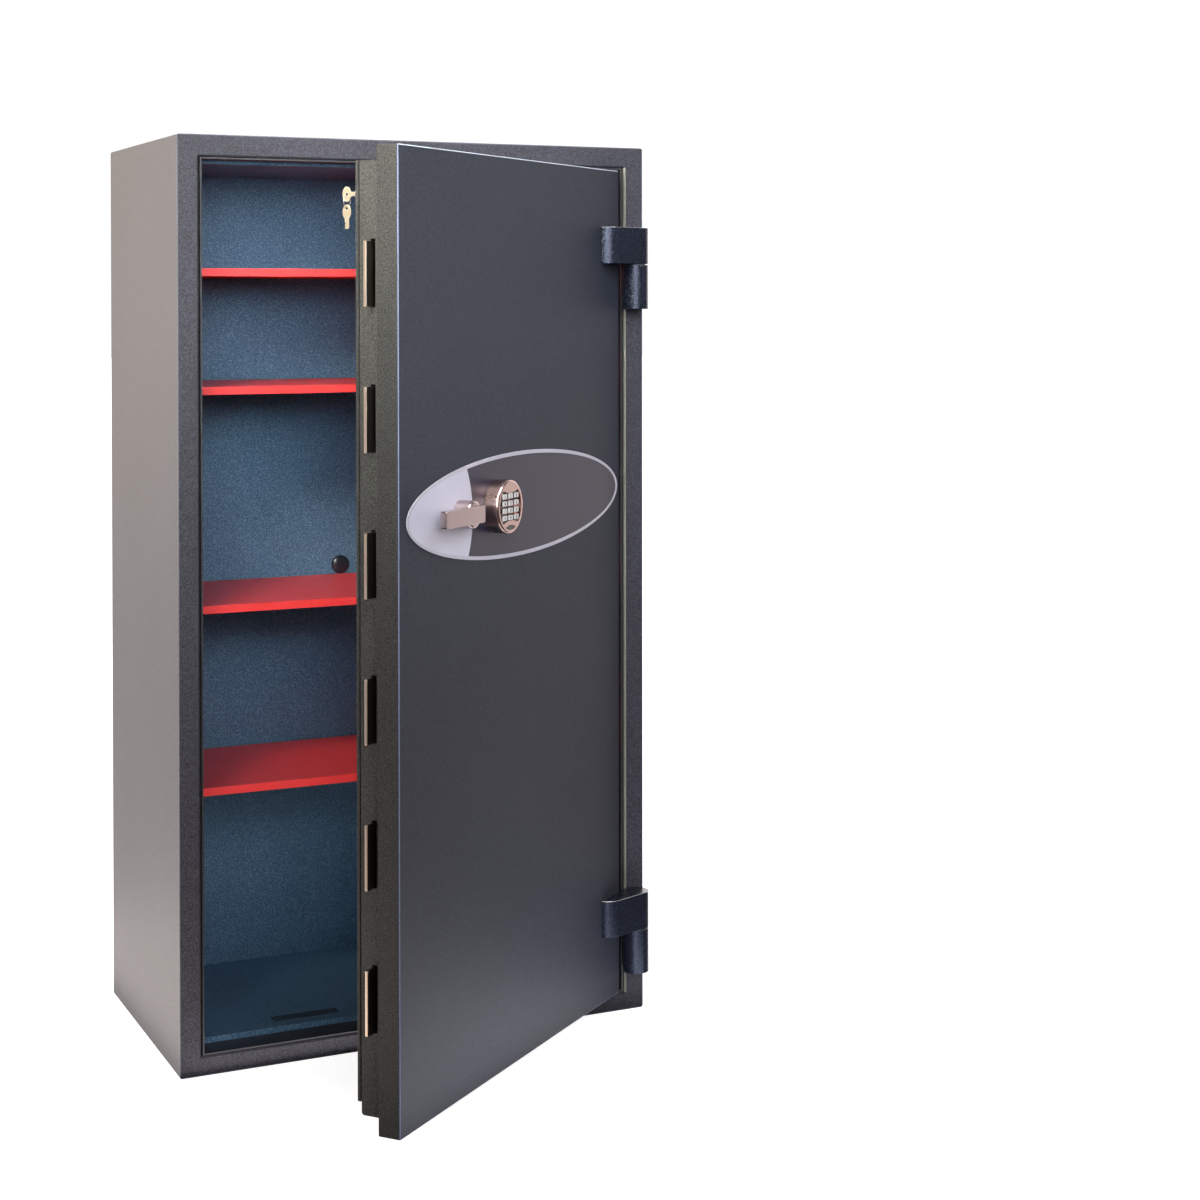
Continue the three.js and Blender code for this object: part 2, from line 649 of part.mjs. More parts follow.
// Each pin stands in its knuckle, with a thrust collar that carries the leaf
HINGE_JOINTS.forEach((joint, index) => {
  const name = HINGE_NAMES[index];
  const knuckleZ = [joint - LEAF_GAP / 2 - KNUCKLE_HEIGHT, joint - LEAF_GAP / 2];
  const leafZ = [joint + LEAF_GAP / 2, joint + LEAF_GAP / 2 + LEAF_HEIGHT];
  const pinZ = [joint - HINGE_PIN_LENGTH / 2, joint + HINGE_PIN_LENGTH / 2];
  const pinBore = roundZ(HINGE_X, HINGE_Y, HINGE_PIN_RADIUS + PIN_GAP, grow(pinZ, SEAT_GAP));
  const leaf = cut(panelXY(leafOutline(), leafZ, 0, 16), [pinBore]);
  safe.add(piece(`hinge_knuckle_${name}`, cut(knuckle(knuckleZ), [pinBore]), 'hinge'));
  const collarZ = grow([joint, joint], LEAF_GAP / 2 - SEAT_GAP);
  const pin = roundZ(HINGE_X, HINGE_Y, HINGE_PIN_RADIUS, pinZ).add(
    roundZ(HINGE_X, HINGE_Y, HINGE_COLLAR_RADIUS, collarZ),
  );
  safe.add(piece(`hinge_pin_${name}`, pin, 'steel'));
  door.add(piece(`hinge_leaf_${name}`, leaf, 'hinge'));
});

// Bores that pass through the door's layers
const spindleBore = (y) => roundY(HANDLE_X, LOCK_HEIGHT, SPINDLE_RADIUS + PIN_GAP, y);
const cableBore = (y) => roundY(KEYPAD_X, KEYPAD_Z, CABLE_HOLE_RADIUS, y, SMALL_STEPS);
const bores = (y) => [spindleBore(y), cableBore(y)];
const throughDoor = [FRONT_Y - 5, DOOR_BACK_Y + 5];

// Door skin: a pressed tray, open at the back, with softened front edges
const skinBlank = panelXZ(
  roundedOutline([-DOOR_X, DOOR_X], [DOOR_BOTTOM, DOOR_TOP], DOOR_CORNER),
  [FRONT_Y, DOOR_BACK_Y + 2 * DOOR_EDGE_BEVEL],
  DOOR_EDGE_BEVEL,
  3,
);
const trayX = DOOR_X - DOOR_SIDE_SHEET;
const trayZ = [DOOR_BOTTOM + DOOR_SIDE_SHEET, DOOR_TOP - DOOR_SIDE_SHEET];
const skin = cut(skinBlank, [
  block([-trayX, trayX], [FRONT_Y + DOOR_FRONT_SHEET, DOOR_BACK_Y + 1], trayZ),
  around(DOOR_X, DOOR_BOTTOM, DOOR_TOP, [DOOR_BACK_Y, DOOR_BACK_Y + 3 * DOOR_EDGE_BEVEL], 1),
  ...bores(throughDoor),
]);
door.add(piece('door_skin', skin, 'door'));

const coreX = trayX - SEAT_GAP;
const coreZ = [trayZ[0] + SEAT_GAP, trayZ[1] - SEAT_GAP];
const backPlateY = DOOR_BACK_Y - DOOR_BACK_SHEET;
const core = block(
  [-coreX, coreX],
  [FRONT_Y + DOOR_FRONT_SHEET + SEAT_GAP, backPlateY - SEAT_GAP],
  coreZ,
);
door.add(piece('door_core', cut(core, bores(throughDoor)), 'fill'));
const backPlate = block([-coreX, coreX], [backPlateY, DOOR_BACK_Y], coreZ);
door.add(piece('door_back_plate', cut(backPlate, bores(throughDoor)), 'door'));

// Bolt box: a folded frame on the back plate, with a slot for each bolt in its free side
const boxFrontY = DOOR_BACK_Y + SEAT_GAP;
const boxX = [-BOX_X, BOX_X];
const boxZ = [BOX_BOTTOM, BOX_TOP];
const shrink = (limits, by) => grow(limits, -by);
const boxBlank = cut(block(boxX, [boxFrontY, BOX_BACK_Y], boxZ), [
  block(shrink(boxX, BOX_SHEET), [boxFrontY - 1, BOX_BACK_Y - BOX_SHEET], shrink(boxZ, BOX_SHEET)),
  block(shrink(boxX, BOX_FLANGE), [BOX_BACK_Y - BOX_SHEET - 1, BOX_BACK_Y + 1], shrink(boxZ, BOX_FLANGE)),
]);
// The lower back edge of the box is rounded off
function boxCornerCut() {
  const shape = new THREE.Shape();
  shape.moveTo(BOX_BACK_Y + 1, BOX_BOTTOM - 1);
  shape.lineTo(BOX_BACK_Y + 1, BOX_BOTTOM + BOX_CORNER);
  shape.lineTo(BOX_BACK_Y, BOX_BOTTOM + BOX_CORNER);
  shape.absarc(BOX_BACK_Y - BOX_CORNER, BOX_BOTTOM + BOX_CORNER, BOX_CORNER, 0, -Math.PI / 2, true);
  shape.lineTo(BOX_BACK_Y - BOX_CORNER, BOX_BOTTOM - 1);
  return panelYZ(shape, [-BOX_X - 1, BOX_X + 1], 4);
}
const boltSlots = boltZs.map((z) => block(
  [-BOX_X - 1, -BOX_X + BOX_SHEET + 1],
  [BOLT_Y - SLOT_GAP, BOLT_Y + BOLT_THICKNESS + SLIDE_GAP],
  [z - BOLT_HEIGHT / 2 - SLIDE_GAP, z + BOLT_HEIGHT / 2 + SLOT_GAP],
));

// Screws that hold the rear cover to the box flange
const coverZ = [BOX_BOTTOM + COVER_BOTTOM_INSET, BOX_TOP];
const screwX = BOX_X - COVER_SCREW_INSET;
const screwZs = Array.from({ length: COVER_SCREW_ROWS }, (_, index) => THREE.MathUtils.lerp(
  coverZ[0] + COVER_SCREW_END,
  coverZ[1] - COVER_SCREW_END,
  index / (COVER_SCREW_ROWS - 1),
));
const screwSpots = screwZs.flatMap((z) => [[-screwX, z], [screwX, z]]);
const screwTipY = BOX_BACK_Y - BOX_SHEET - 4;
const screwHoles = screwSpots.map(([x, z]) => roundY(
  x,
  z,
  COVER_SCREW_RADIUS + SEAT_GAP,
  [screwTipY - 1, COVER_Y],
  12,
));
const coverLockBore = roundY(COVER_LOCK_X, COVER_LOCK_HEIGHT, COVER_LOCK_RADIUS + SEAT_GAP, [
  BOX_BACK_Y - 2 * BOX_SHEET,
  COVER_BACK_Y + 5,
]);
const boltBox = cut(boxBlank, [
  ...boltSlots,
  boxCornerCut(),
  ...screwHoles,
  coverLockBore,
]);
door.add(piece('bolt_box', boltBox, 'door'));

// Rear cover with its screws, which stand it off the flange on shoulders
const screws = screwSpots.map(([x, z]) => turnedY(x, z, [
  [0, screwTipY],
  [COVER_SCREW_RADIUS, screwTipY],
  [COVER_SCREW_RADIUS, BOX_BACK_Y + SEAT_GAP],
  [COVER_SCREW_HEAD, BOX_BACK_Y + SEAT_GAP],
  [COVER_SCREW_HEAD, COVER_BACK_Y + 1],
  [COVER_SCREW_HEAD * 0.6, COVER_BACK_Y + COVER_SCREW_RISE],
  [0, COVER_BACK_Y + COVER_SCREW_RISE],
], 8));
const coverSheet = cut(
  panelXZ(roundedOutline(boxX, coverZ, 2), [COVER_Y, COVER_BACK_Y], 1, 2),
  [coverLockBore],
);
door.add(piece('rear_cover', joined([coverSheet, ...screws]), 'door'));

// Fixed dogs on the hinge side, on one strip, which enter the liner's slots when the door is shut
const dogX = BOX_X + SEAT_GAP;
const dogStrip = block(
  [dogX, dogX + DOG_THICKNESS],
  [DOG_Y, DOG_Y + DOG_FOOT],
  grow([dogZs[0], dogZs[DOG_COUNT - 1]], DOG_HEIGHT / 2),
);
const dogs = dogZs.map((z) => block(
  [dogX, DOG_TIP_X],
  [DOG_Y, DOG_Y + DOG_THICKNESS],
  grow([z, z], DOG_HEIGHT / 2),
));
door.add(piece('hinge_side_dogs', joined([dogStrip, ...dogs]), 'steel'));

// Headed studs that carry the bolt carriage, on one strip fixed to the back plate
const studX = CARRIAGE_LEFT + STUD_INSET;
const studZs = spread(STUD_COUNT, STUD_SPACING);
const carriageBackY = CARRIAGE_Y + CARRIAGE_THICKNESS;
const studs = studZs.map((z) => turnedY(studX, z, [
  [0, DOOR_BACK_Y + SEAT_GAP],
  [STUD_SHOULDER, DOOR_BACK_Y + SEAT_GAP],
  [STUD_SHOULDER, CARRIAGE_Y - SEAT_GAP],
  [STUD_RADIUS, CARRIAGE_Y - SEAT_GAP],
  [STUD_RADIUS, carriageBackY + SEAT_GAP],
  [STUD_SHOULDER, carriageBackY + SEAT_GAP],
  [STUD_SHOULDER, carriageBackY + SEAT_GAP + STUD_HEAD],
  [0, carriageBackY + SEAT_GAP + STUD_HEAD],
], 12));
const studStrip = block(
  grow([studX, studX], STUD_SHOULDER),
  [DOOR_BACK_Y + SEAT_GAP, DOOR_BACK_Y + SEAT_GAP + STUD_HEAD],
  grow([studZs[0], studZs[STUD_COUNT - 1]], 2 * STUD_SHOULDER),
);
door.add(piece('carriage_studs', joined([studStrip, ...studs]), 'zinc'));

// Bolt carriage: one tall plate with an arm to the cam, slotted for the studs and the cam pin
const carriageOutline = roundedOutline(
  [CARRIAGE_LEFT, CARRIAGE_RIGHT],
  grow([boltZs[0], boltZs[BOLT_COUNT - 1]], CARRIAGE_MARGIN),
  CARRIAGE_CORNER,
);
const armTop = LOCK_HEIGHT + CARRIAGE_ARM_RISE;
const arm = roundedOutline(
  [CARRIAGE_RIGHT - 2 * CARRIAGE_CORNER, ARM_END],
  [armTop - CARRIAGE_ARM_HEIGHT, armTop],
  CARRIAGE_CORNER,
);
const carriageY = [CARRIAGE_Y, carriageBackY];
const slotY = [CARRIAGE_Y - 1, carriageBackY + 1];
const studSlots = studZs.map((z) => panelXZ(
  roundedOutline(
    [studX - STUD_RADIUS - SLIDE_GAP, studX + BOLT_TRAVEL + STUD_RADIUS + SLIDE_GAP],
    [z - STUD_RADIUS - SLIDE_GAP, z + STUD_RADIUS + SLIDE_GAP],
    STUD_RADIUS,
  ),
  slotY,
  0,
  4,
));
const pinSlotHalf = CAM_PIN_RADIUS + CAM_PIN_SLACK;
const pinSlot = panelXZ(
  roundedOutline(
    [CAM_PIN_X - pinSlotHalf, CAM_PIN_X + pinSlotHalf],
    [CAM_PIN_Z - pinSlotHalf, LOCK_HEIGHT + CAM_CRANK + pinSlotHalf],
    pinSlotHalf - 0.2,
  ),
  slotY,
  0,
  4,
);
const carriage = cut(
  panelXZ(carriageOutline, carriageY, 0, 3).add(panelXZ(arm, carriageY, 0, 3)),
  [...studSlots, pinSlot],
);
door.add(piece('bolt_carriage', carriage, 'zinc'));

// Bolts: flat steel plates with softened noses
boltZs.forEach((z, index) => {
  const bolt = panelXZ(
    roundedOutline(
      [BOLT_TIP_X, BOLT_TIP_X + BOLT_LENGTH],
      [z - BOLT_HEIGHT / 2, z + BOLT_HEIGHT / 2],
      BOLT_NOSE,
    ),
    [BOLT_Y, BOLT_Y + BOLT_THICKNESS],
    BOLT_NOSE / 2,
    2,
    1,
  );
  door.add(piece(`bolt_${index + 1}`, bolt, 'steel'));
});

// Handle: a turned hub with a flat lever bar let into its end
function hubProfile() {
  const base = PLATE_FACE_Y - SEAT_GAP;
  const end = base - HUB_LENGTH;
  const profile = [[0, end]];
  for (let step = 0; step <= 3; step += 1) {
    const angle = (step / 3) * (Math.PI / 2);
    profile.push([
      HUB_RADIUS - HUB_ROUNDING + HUB_ROUNDING * Math.sin(angle),
      end + HUB_ROUNDING - HUB_ROUNDING * Math.cos(angle),
    ]);
  }
  profile.push([HUB_RADIUS, base], [0, base]);
  return profile;
}
const hubEndY = PLATE_FACE_Y - SEAT_GAP - HUB_LENGTH;
const leverBackY = hubEndY + BAR_SINK;
const leverY = [leverBackY - BAR_THICKNESS, leverBackY];
const lever = panelXZ(
  roundedOutline(
    [HANDLE_X + HUB_RADIUS - BAR_LENGTH, HANDLE_X + HUB_RADIUS],
    [LOCK_HEIGHT - BAR_HEIGHT / 2, LOCK_HEIGHT + BAR_HEIGHT / 2],
    BAR_CORNER,
  ),
  leverY,
  BAR_BEVEL,
  3,
  1,
);
const handle = turnedY(HANDLE_X, LOCK_HEIGHT, hubProfile(), FINE_STEPS / 2).add(lever);
const spindleSocket = roundY(HANDLE_X, LOCK_HEIGHT, SPINDLE_RADIUS + SEAT_GAP, [
  hubEndY + HUB_LENGTH / 2,
  FRONT_Y,
]);
door.add(piece('handle', cut(handle, [spindleSocket]), 'nickel'));

// Spindle with the cam and crank pin that drive the carriage
const spindleY = [hubEndY + HUB_LENGTH / 2 + SEAT_GAP, CAM_Y + CAM_THICKNESS / 2];
const spindle = joined([
  roundY(HANDLE_X, LOCK_HEIGHT, SPINDLE_RADIUS, spindleY),
  roundY(HANDLE_X, LOCK_HEIGHT, CAM_RADIUS, [CAM_Y, CAM_Y + CAM_THICKNESS]),
  roundY(CAM_PIN_X, CAM_PIN_Z, CAM_PIN_RADIUS, [CAM_Y + 1, CAM_Y + CAM_THICKNESS + CAM_PIN_LENGTH], 20),
]);
door.add(piece('handle_spindle', spindle, 'zinc'));

// Electronic lock case with its spring bolt, which the end of the carriage arm pushes back
const caseX = [LOCK_CASE_LEFT, LOCK_CASE_LEFT + LOCK_CASE_WIDTH];
const caseZ = [LOCK_HEIGHT - LOCK_CASE_HEIGHT / 2, LOCK_HEIGHT + LOCK_CASE_HEIGHT / 2];
const caseY = [DOOR_BACK_Y + SEAT_GAP, DOOR_BACK_Y + SEAT_GAP + LOCK_CASE_DEPTH];
const lockBoltFront = DOOR_BACK_Y + LOCK_BOLT_SETBACK;
const lockBoltY = [lockBoltFront, lockBoltFront + LOCK_BOLT_THICKNESS];
const lockBoltZ = [LOCK_HEIGHT - LOCK_BOLT_HEIGHT / 2, LOCK_HEIGHT + LOCK_BOLT_HEIGHT / 2];
const lockBoltX = [LOCK_BOLT_TIP, LOCK_BOLT_TIP + LOCK_BOLT_LENGTH];
const lockPocket = block(
  [LOCK_CASE_LEFT - 1, lockBoltX[1] + 2],
  grow(lockBoltY, SLIDE_GAP),
  grow(lockBoltZ, SLIDE_GAP),
);
const caseScrews = [0, 1].flatMap((i) => [0, 1].map((j) => roundY(
  caseX[i] + (i === 0 ? LOCK_SCREW_INSET : -LOCK_SCREW_INSET),
  caseZ[j] + (j === 0 ? LOCK_SCREW_INSET : -LOCK_SCREW_INSET),
  LOCK_SCREW_RADIUS,
  [caseY[1] - 1, caseY[1] + 2],
  8,
)));
const cableSocket = cableBore([DOOR_BACK_Y, caseY[0] + 6]);
const lockCase = cut(
  joined([panelXZ(roundedOutline(caseX, caseZ, 3), caseY, 0, 3), ...caseScrews]),
  [lockPocket, cableSocket],
);
door.add(piece('lock_case', lockCase, 'zinc'));
door.add(piece('lock_bolt', block(lockBoltX, lockBoltY, lockBoltZ), 'brass'));

// Escutcheon: a thin elliptical plate with a raised border
const holesInPlate = [
  spindleBore([PLATE_FACE_Y - 5, FRONT_Y]),
  cableBore([PLATE_FACE_Y - 5, FRONT_Y]),
];
const plateBlank = panelXZ(
  ellipseOutline(PLATE_X, LOCK_HEIGHT, PLATE_HALF_WIDTH, PLATE_HALF_HEIGHT),
  [PLATE_FACE_Y - PLATE_BORDER_RISE, FRONT_Y - SEAT_GAP],
);
const plateField = panelXZ(
  ellipseOutline(
    PLATE_X,
    LOCK_HEIGHT,
    PLATE_HALF_WIDTH - PLATE_BORDER,
    PLATE_HALF_HEIGHT - PLATE_BORDER,
  ),
  [PLATE_FACE_Y - PLATE_BORDER_RISE - 1, PLATE_FACE_Y],
);
door.add(piece('escutcheon', cut(plateBlank, [plateField, ...holesInPlate]), 'plate'));

// Keypad housing: a round body with a rolled rim, a pocket for the panel and a slot for the drawer
function panelOutline(radius, inset) {
  const shape = new THREE.Shape();
  const arcZ = KEYPAD_ARC_OFFSET - inset;
  const halfX = Math.sqrt(radius * radius - arcZ * arcZ);
  const start = Math.atan2(arcZ, halfX);
  shape.absarc(KEYPAD_X, KEYPAD_Z, radius, -start, start, false);
  shape.quadraticCurveTo(
    KEYPAD_X,
    KEYPAD_Z + arcZ - 2 * KEYPAD_ARC_RISE,
    KEYPAD_X - halfX,
    KEYPAD_Z + arcZ,
  );
  shape.absarc(KEYPAD_X, KEYPAD_Z, radius, Math.PI - start, Math.PI + start, false);
  shape.quadraticCurveTo(
    KEYPAD_X,
    KEYPAD_Z - arcZ + 2 * KEYPAD_ARC_RISE,
    KEYPAD_X + halfX,
    KEYPAD_Z - arcZ,
  );
  return shape;
}
function lensOutline(gap) {
  const shape = new THREE.Shape();
  const half = LENS_HALF_WIDTH + gap;
  const middle = KEYPAD_Z + (LENS_TOP + LENS_BOTTOM) / 2;
  const rise = LENS_TOP - LENS_BOTTOM + gap;
  shape.moveTo(KEYPAD_X - half, middle);
  shape.quadraticCurveTo(KEYPAD_X, middle - rise, KEYPAD_X + half, middle);
  shape.quadraticCurveTo(KEYPAD_X, middle + rise, KEYPAD_X - half, middle);
  return shape;
}
function housingProfile() {
  const profile = [[0, KEYPAD_FACE_Y]];
  for (let step = 0; step <= 4; step += 1) {
    const angle = (step / 4) * (Math.PI / 2);
    profile.push([
      KEYPAD_RADIUS - KEYPAD_ROUNDING + KEYPAD_ROUNDING * Math.sin(angle),
      KEYPAD_FACE_Y + KEYPAD_ROUNDING - KEYPAD_ROUNDING * Math.cos(angle),
    ]);
  }
  profile.push([KEYPAD_RADIUS, KEYPAD_BASE_Y], [0, KEYPAD_BASE_Y]);
  return profile;
}
const drawerY = [
  KEYPAD_BASE_Y - DRAWER_BASE_GAP - DRAWER_THICKNESS,
  KEYPAD_BASE_Y - DRAWER_BASE_GAP,
];
const drawerX = [KEYPAD_X - DRAWER_WIDTH / 2, KEYPAD_X + DRAWER_WIDTH / 2];
const keypadBottom = KEYPAD_Z - KEYPAD_RADIUS;
const drawerZ = [keypadBottom, keypadBottom + DRAWER_HEIGHT];
const lensY = [KEYPAD_FACE_Y + 0.5, KEYPAD_FACE_Y + 0.5 + 1.5];
const housing = cut(turnedY(KEYPAD_X, KEYPAD_Z, housingProfile(), FINE_STEPS), [
  panelXZ(panelOutline(KEYPAD_PANEL_RADIUS, 0), [KEYPAD_FACE_Y - 1, KEY_POCKET_Y], 0, 8),
  panelXZ(lensOutline(SEAT_GAP), [KEYPAD_FACE_Y - 1, lensY[1] + SEAT_GAP], 0, 8),
  block(
    grow(drawerX, SLIDE_GAP),
    grow(drawerY, SLIDE_GAP),
    [drawerZ[0] - 5, drawerZ[1] + SLIDE_GAP],
  ),
  cableBore([KEYPAD_BASE_Y - DRAWER_BASE_GAP - 8, KEYPAD_BASE_Y + 1]),
]);
door.add(piece('keypad_housing', housing, 'nickel'));

// Keys and the black panel that frames them
function keyOutline(column, row, gap) {
  const x = KEYPAD_X + (column - (KEY_COLUMNS - 1) / 2) * KEY_PITCH_X;
  const z = KEYPAD_Z - (row - (KEY_ROWS - 1) / 2) * KEY_PITCH_Z;
  return roundedOutline(
    [x - KEY_WIDTH / 2 - gap, x + KEY_WIDTH / 2 + gap],
    [z - KEY_HEIGHT / 2 - gap, z + KEY_HEIGHT / 2 + gap],
    KEY_CORNER,
  );
}
function keyForm(column, row, gap, y) {
  const form = panelXZ(keyOutline(column, row, gap), y, gap === 0 ? 0.4 : 0, 1, 1);
  const trim = roundY(KEYPAD_X, KEYPAD_Z, KEY_TRIM_RADIUS + gap, grow(y, 1), FINE_STEPS);
  return form.intersect(trim);
}
const keySpots = KEY_NAMES.flatMap((names, row) => names.map((name, column) => ({ name, row, column })));
const panelY = [PANEL_FACE_Y, PANEL_FACE_Y + PANEL_SHEET];
const keyHoles = keySpots.map(({ row, column }) => keyForm(column, row, SLIDE_GAP, grow(panelY, 1)));
const panel = cut(
  panelXZ(panelOutline(KEYPAD_PANEL_RADIUS - SEAT_GAP, SEAT_GAP), panelY, 0, 8),
  keyHoles,
);
door.add(piece('keypad_panel', panel, 'black'));
door.add(piece('keypad_lens', panelXZ(lensOutline(0), lensY, 0, 8), 'black'));
keySpots.forEach(({ name, row, column }) => {
  const key = keyForm(column, row, 0, [KEY_FACE_Y, KEY_FACE_Y + KEY_LENGTH]);
  door.add(piece(name, key, 'keycap'));
});

// Battery drawer in the foot of the keypad: an open tray whose face follows the round body
const drawerBlank = block(drawerX, drawerY, drawerZ).intersect(
  roundY(KEYPAD_X, KEYPAD_Z, KEYPAD_RADIUS, grow(drawerY, 1), FINE_STEPS),
);
const batteryX = [KEYPAD_X - BATTERY_WIDTH / 2, KEYPAD_X + BATTERY_WIDTH / 2];
const batteryMiddleY = (drawerY[0] + drawerY[1]) / 2;
const batteryY = [batteryMiddleY - BATTERY_THICKNESS / 2, batteryMiddleY + BATTERY_THICKNESS / 2];
const batteryZ = [drawerZ[1] - DRAWER_WALL - BATTERY_HEIGHT, drawerZ[1] - DRAWER_WALL];
const tray = cut(drawerBlank, [
  block(grow(batteryX, SEAT_GAP), [batteryY[0] - SEAT_GAP, drawerY[1] + 1], grow(batteryZ, SEAT_GAP)),
]);
door.add(piece('battery_drawer', tray, 'black'));
door.add(piece('battery', block(batteryX, batteryY, batteryZ), 'orange'));

// Cable between the keypad and the lock case
const cable = roundY(
  KEYPAD_X,
  KEYPAD_Z,
  CABLE_RADIUS,
  [KEYPAD_BASE_Y - DRAWER_BASE_GAP - 8 + SEAT_GAP, caseY[0] + 6 - SEAT_GAP],
  12,
);
door.add(piece('keypad_cable', cable, 'black'));

// Cover lock, its key, and the spare key on a ring
const rimBackY = COVER_BACK_Y + SEAT_GAP + COVER_LOCK_RIM_RISE;
const lockBody = turnedY(COVER_LOCK_X, COVER_LOCK_HEIGHT, [
  [0, rimBackY - COVER_LOCK_LENGTH],
  [COVER_LOCK_RADIUS, rimBackY - COVER_LOCK_LENGTH],
  [COVER_LOCK_RADIUS, COVER_BACK_Y + SEAT_GAP],
  [COVER_LOCK_RIM, COVER_BACK_Y + SEAT_GAP],
  [COVER_LOCK_RIM, rimBackY - 1],
  [COVER_LOCK_RIM - 1, rimBackY],
  [0, rimBackY],
], 24);
door.add(piece('cover_lock', lockBody, 'zinc'));

function bow(x, y, z) {
  const outline = ellipseOutline(y, z, BOW_HALF_LENGTH, BOW_HALF_HEIGHT, 24);
  return panelYZ(outline, [x - BOW_THICKNESS / 2, x + BOW_THICKNESS / 2]);
}
function bowHole(x, y, z) {
  const outline = ellipseOutline(y, z, BOW_HOLE, BOW_HOLE, 12);
  return panelYZ(outline, [x - BOW_THICKNESS, x + BOW_THICKNESS]);
}
const coverKey = cut(
  joined([
    bow(COVER_LOCK_X, BOW_Y, COVER_LOCK_HEIGHT),
    block(
      [COVER_LOCK_X - BOW_THICKNESS / 2, COVER_LOCK_X + BOW_THICKNESS / 2],
      [rimBackY + SEAT_GAP, BOW_Y],
      [COVER_LOCK_HEIGHT - KEY_SHANK_HEIGHT / 2, COVER_LOCK_HEIGHT + KEY_SHANK_HEIGHT / 2],
    ),
  ]),
  [bowHole(COVER_LOCK_X, BOW_Y, COVER_LOCK_HEIGHT)],
);
door.add(piece('cover_key', coverKey, 'zinc'));

// The ring hangs in the first key's hole, and the spare key hangs from the ring
const ringTopZ = COVER_LOCK_HEIGHT - BOW_HOLE + RING_WIRE + SEAT_GAP;
const spareHoleZ = ringTopZ - 2 * RING_RADIUS + RING_WIRE + SEAT_GAP - BOW_HOLE;
const spareBowZ = spareHoleZ - BOW_HALF_HEIGHT / 2;
const spareBlade = block(
  [COVER_LOCK_X - BOW_THICKNESS / 2, COVER_LOCK_X + BOW_THICKNESS / 2],
  [BOW_Y - KEY_SHANK_HEIGHT / 2, BOW_Y + KEY_SHANK_HEIGHT / 2],
  [spareBowZ - BOW_HALF_HEIGHT - KEY_BLADE, spareBowZ],
);
const spare = cut(bow(COVER_LOCK_X, BOW_Y, spareBowZ).add(spareBlade), [
  bowHole(COVER_LOCK_X, BOW_Y, spareHoleZ),
]);
door.add(piece('spare_key', spare, 'zinc'));
const ringGeometry = new THREE.TorusGeometry(RING_RADIUS, RING_WIRE, 6, 18);
ringGeometry.rotateX(Math.PI / 2);
ringGeometry.translate(COVER_LOCK_X, BOW_Y, ringTopZ - RING_RADIUS);
door.add(piece('key_ring', solid(ringGeometry), 'zinc'));

// The door hangs on the hinge line, swung open
const hingeLine = new THREE.Group();
hingeLine.position.set(HINGE_X, HINGE_Y, 0);
hingeLine.rotation.z = THREE.MathUtils.degToRad(OPEN_ANGLE);
door.position.set(-HINGE_X, -HINGE_Y, 0);
hingeLine.add(door);
safe.add(hingeLine);

export default safe;
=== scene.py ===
# %% [markdown]
# # A free-standing electronic safe
# The safe is a cabinet of folded steel with a concrete-like fill between casing and liner. Its
# heavy door on two outside hinges carries the handle, the round keypad and a box with six bolts.
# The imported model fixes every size, so this notebook only dresses it: it softens edges, adds fine
# parts that a solid model leaves out, and gives each surface a finish made of nodes.

# %% Load the frame
from math import atan2, cos, hypot, pi, radians, sin, sqrt

import bmesh
import bpy
from mathutils import Matrix, Vector


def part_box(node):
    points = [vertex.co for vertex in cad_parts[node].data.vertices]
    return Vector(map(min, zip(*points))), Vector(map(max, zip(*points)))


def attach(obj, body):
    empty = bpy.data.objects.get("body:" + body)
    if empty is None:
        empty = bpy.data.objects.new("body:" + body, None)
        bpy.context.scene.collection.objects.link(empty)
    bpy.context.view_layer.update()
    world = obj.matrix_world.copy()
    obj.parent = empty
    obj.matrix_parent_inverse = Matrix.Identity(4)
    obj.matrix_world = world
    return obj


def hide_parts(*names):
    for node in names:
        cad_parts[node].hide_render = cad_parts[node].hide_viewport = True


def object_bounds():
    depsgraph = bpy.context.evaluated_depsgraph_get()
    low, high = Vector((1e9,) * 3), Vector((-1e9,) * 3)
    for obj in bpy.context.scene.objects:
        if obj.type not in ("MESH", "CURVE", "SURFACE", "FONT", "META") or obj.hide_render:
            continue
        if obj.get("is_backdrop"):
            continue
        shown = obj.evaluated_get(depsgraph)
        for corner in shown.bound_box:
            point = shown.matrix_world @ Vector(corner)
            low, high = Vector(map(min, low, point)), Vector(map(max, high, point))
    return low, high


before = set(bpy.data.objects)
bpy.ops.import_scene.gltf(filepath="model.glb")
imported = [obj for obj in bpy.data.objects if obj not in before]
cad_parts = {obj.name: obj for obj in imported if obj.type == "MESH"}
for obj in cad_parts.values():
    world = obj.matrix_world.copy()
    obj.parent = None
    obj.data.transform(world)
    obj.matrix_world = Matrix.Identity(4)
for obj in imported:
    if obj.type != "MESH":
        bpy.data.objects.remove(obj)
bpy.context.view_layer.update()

# %% [markdown]
# ## Camera
# The camera stands a little left of the cabinet, nearly level. Its lens is shifted down, which
# keeps the upright edges parallel where tilting the camera would make them converge.

# %% Camera
def placed(name, data):
    thing = bpy.data.objects.new(name, data)
    bpy.context.scene.collection.objects.link(thing)
    return thing


camera_data = bpy.data.cameras.new("camera")
camera_data.sensor_width, camera_data.lens = 36, 64.68
camera_data.shift_x, camera_data.shift_y = -0.0019, -0.2282
camera_data.clip_end = 50
camera = placed("camera", camera_data)
camera.location = (-1.2633, -3.6002, 1.2341)
camera.rotation_euler = [radians(turn) for turn in (89.338, 0.063, -25.377)]
bpy.context.scene.camera = camera
print("camera at", tuple(camera.location))

# %% [markdown]
# ## Where the door stands
# The door is open by 39 degrees. Its own forms are drawn as if it were shut, and one matrix turns
# them. Its finishes go the other way: a mapping takes each point back to the shut door, where
# edges and limits are plain coordinates.

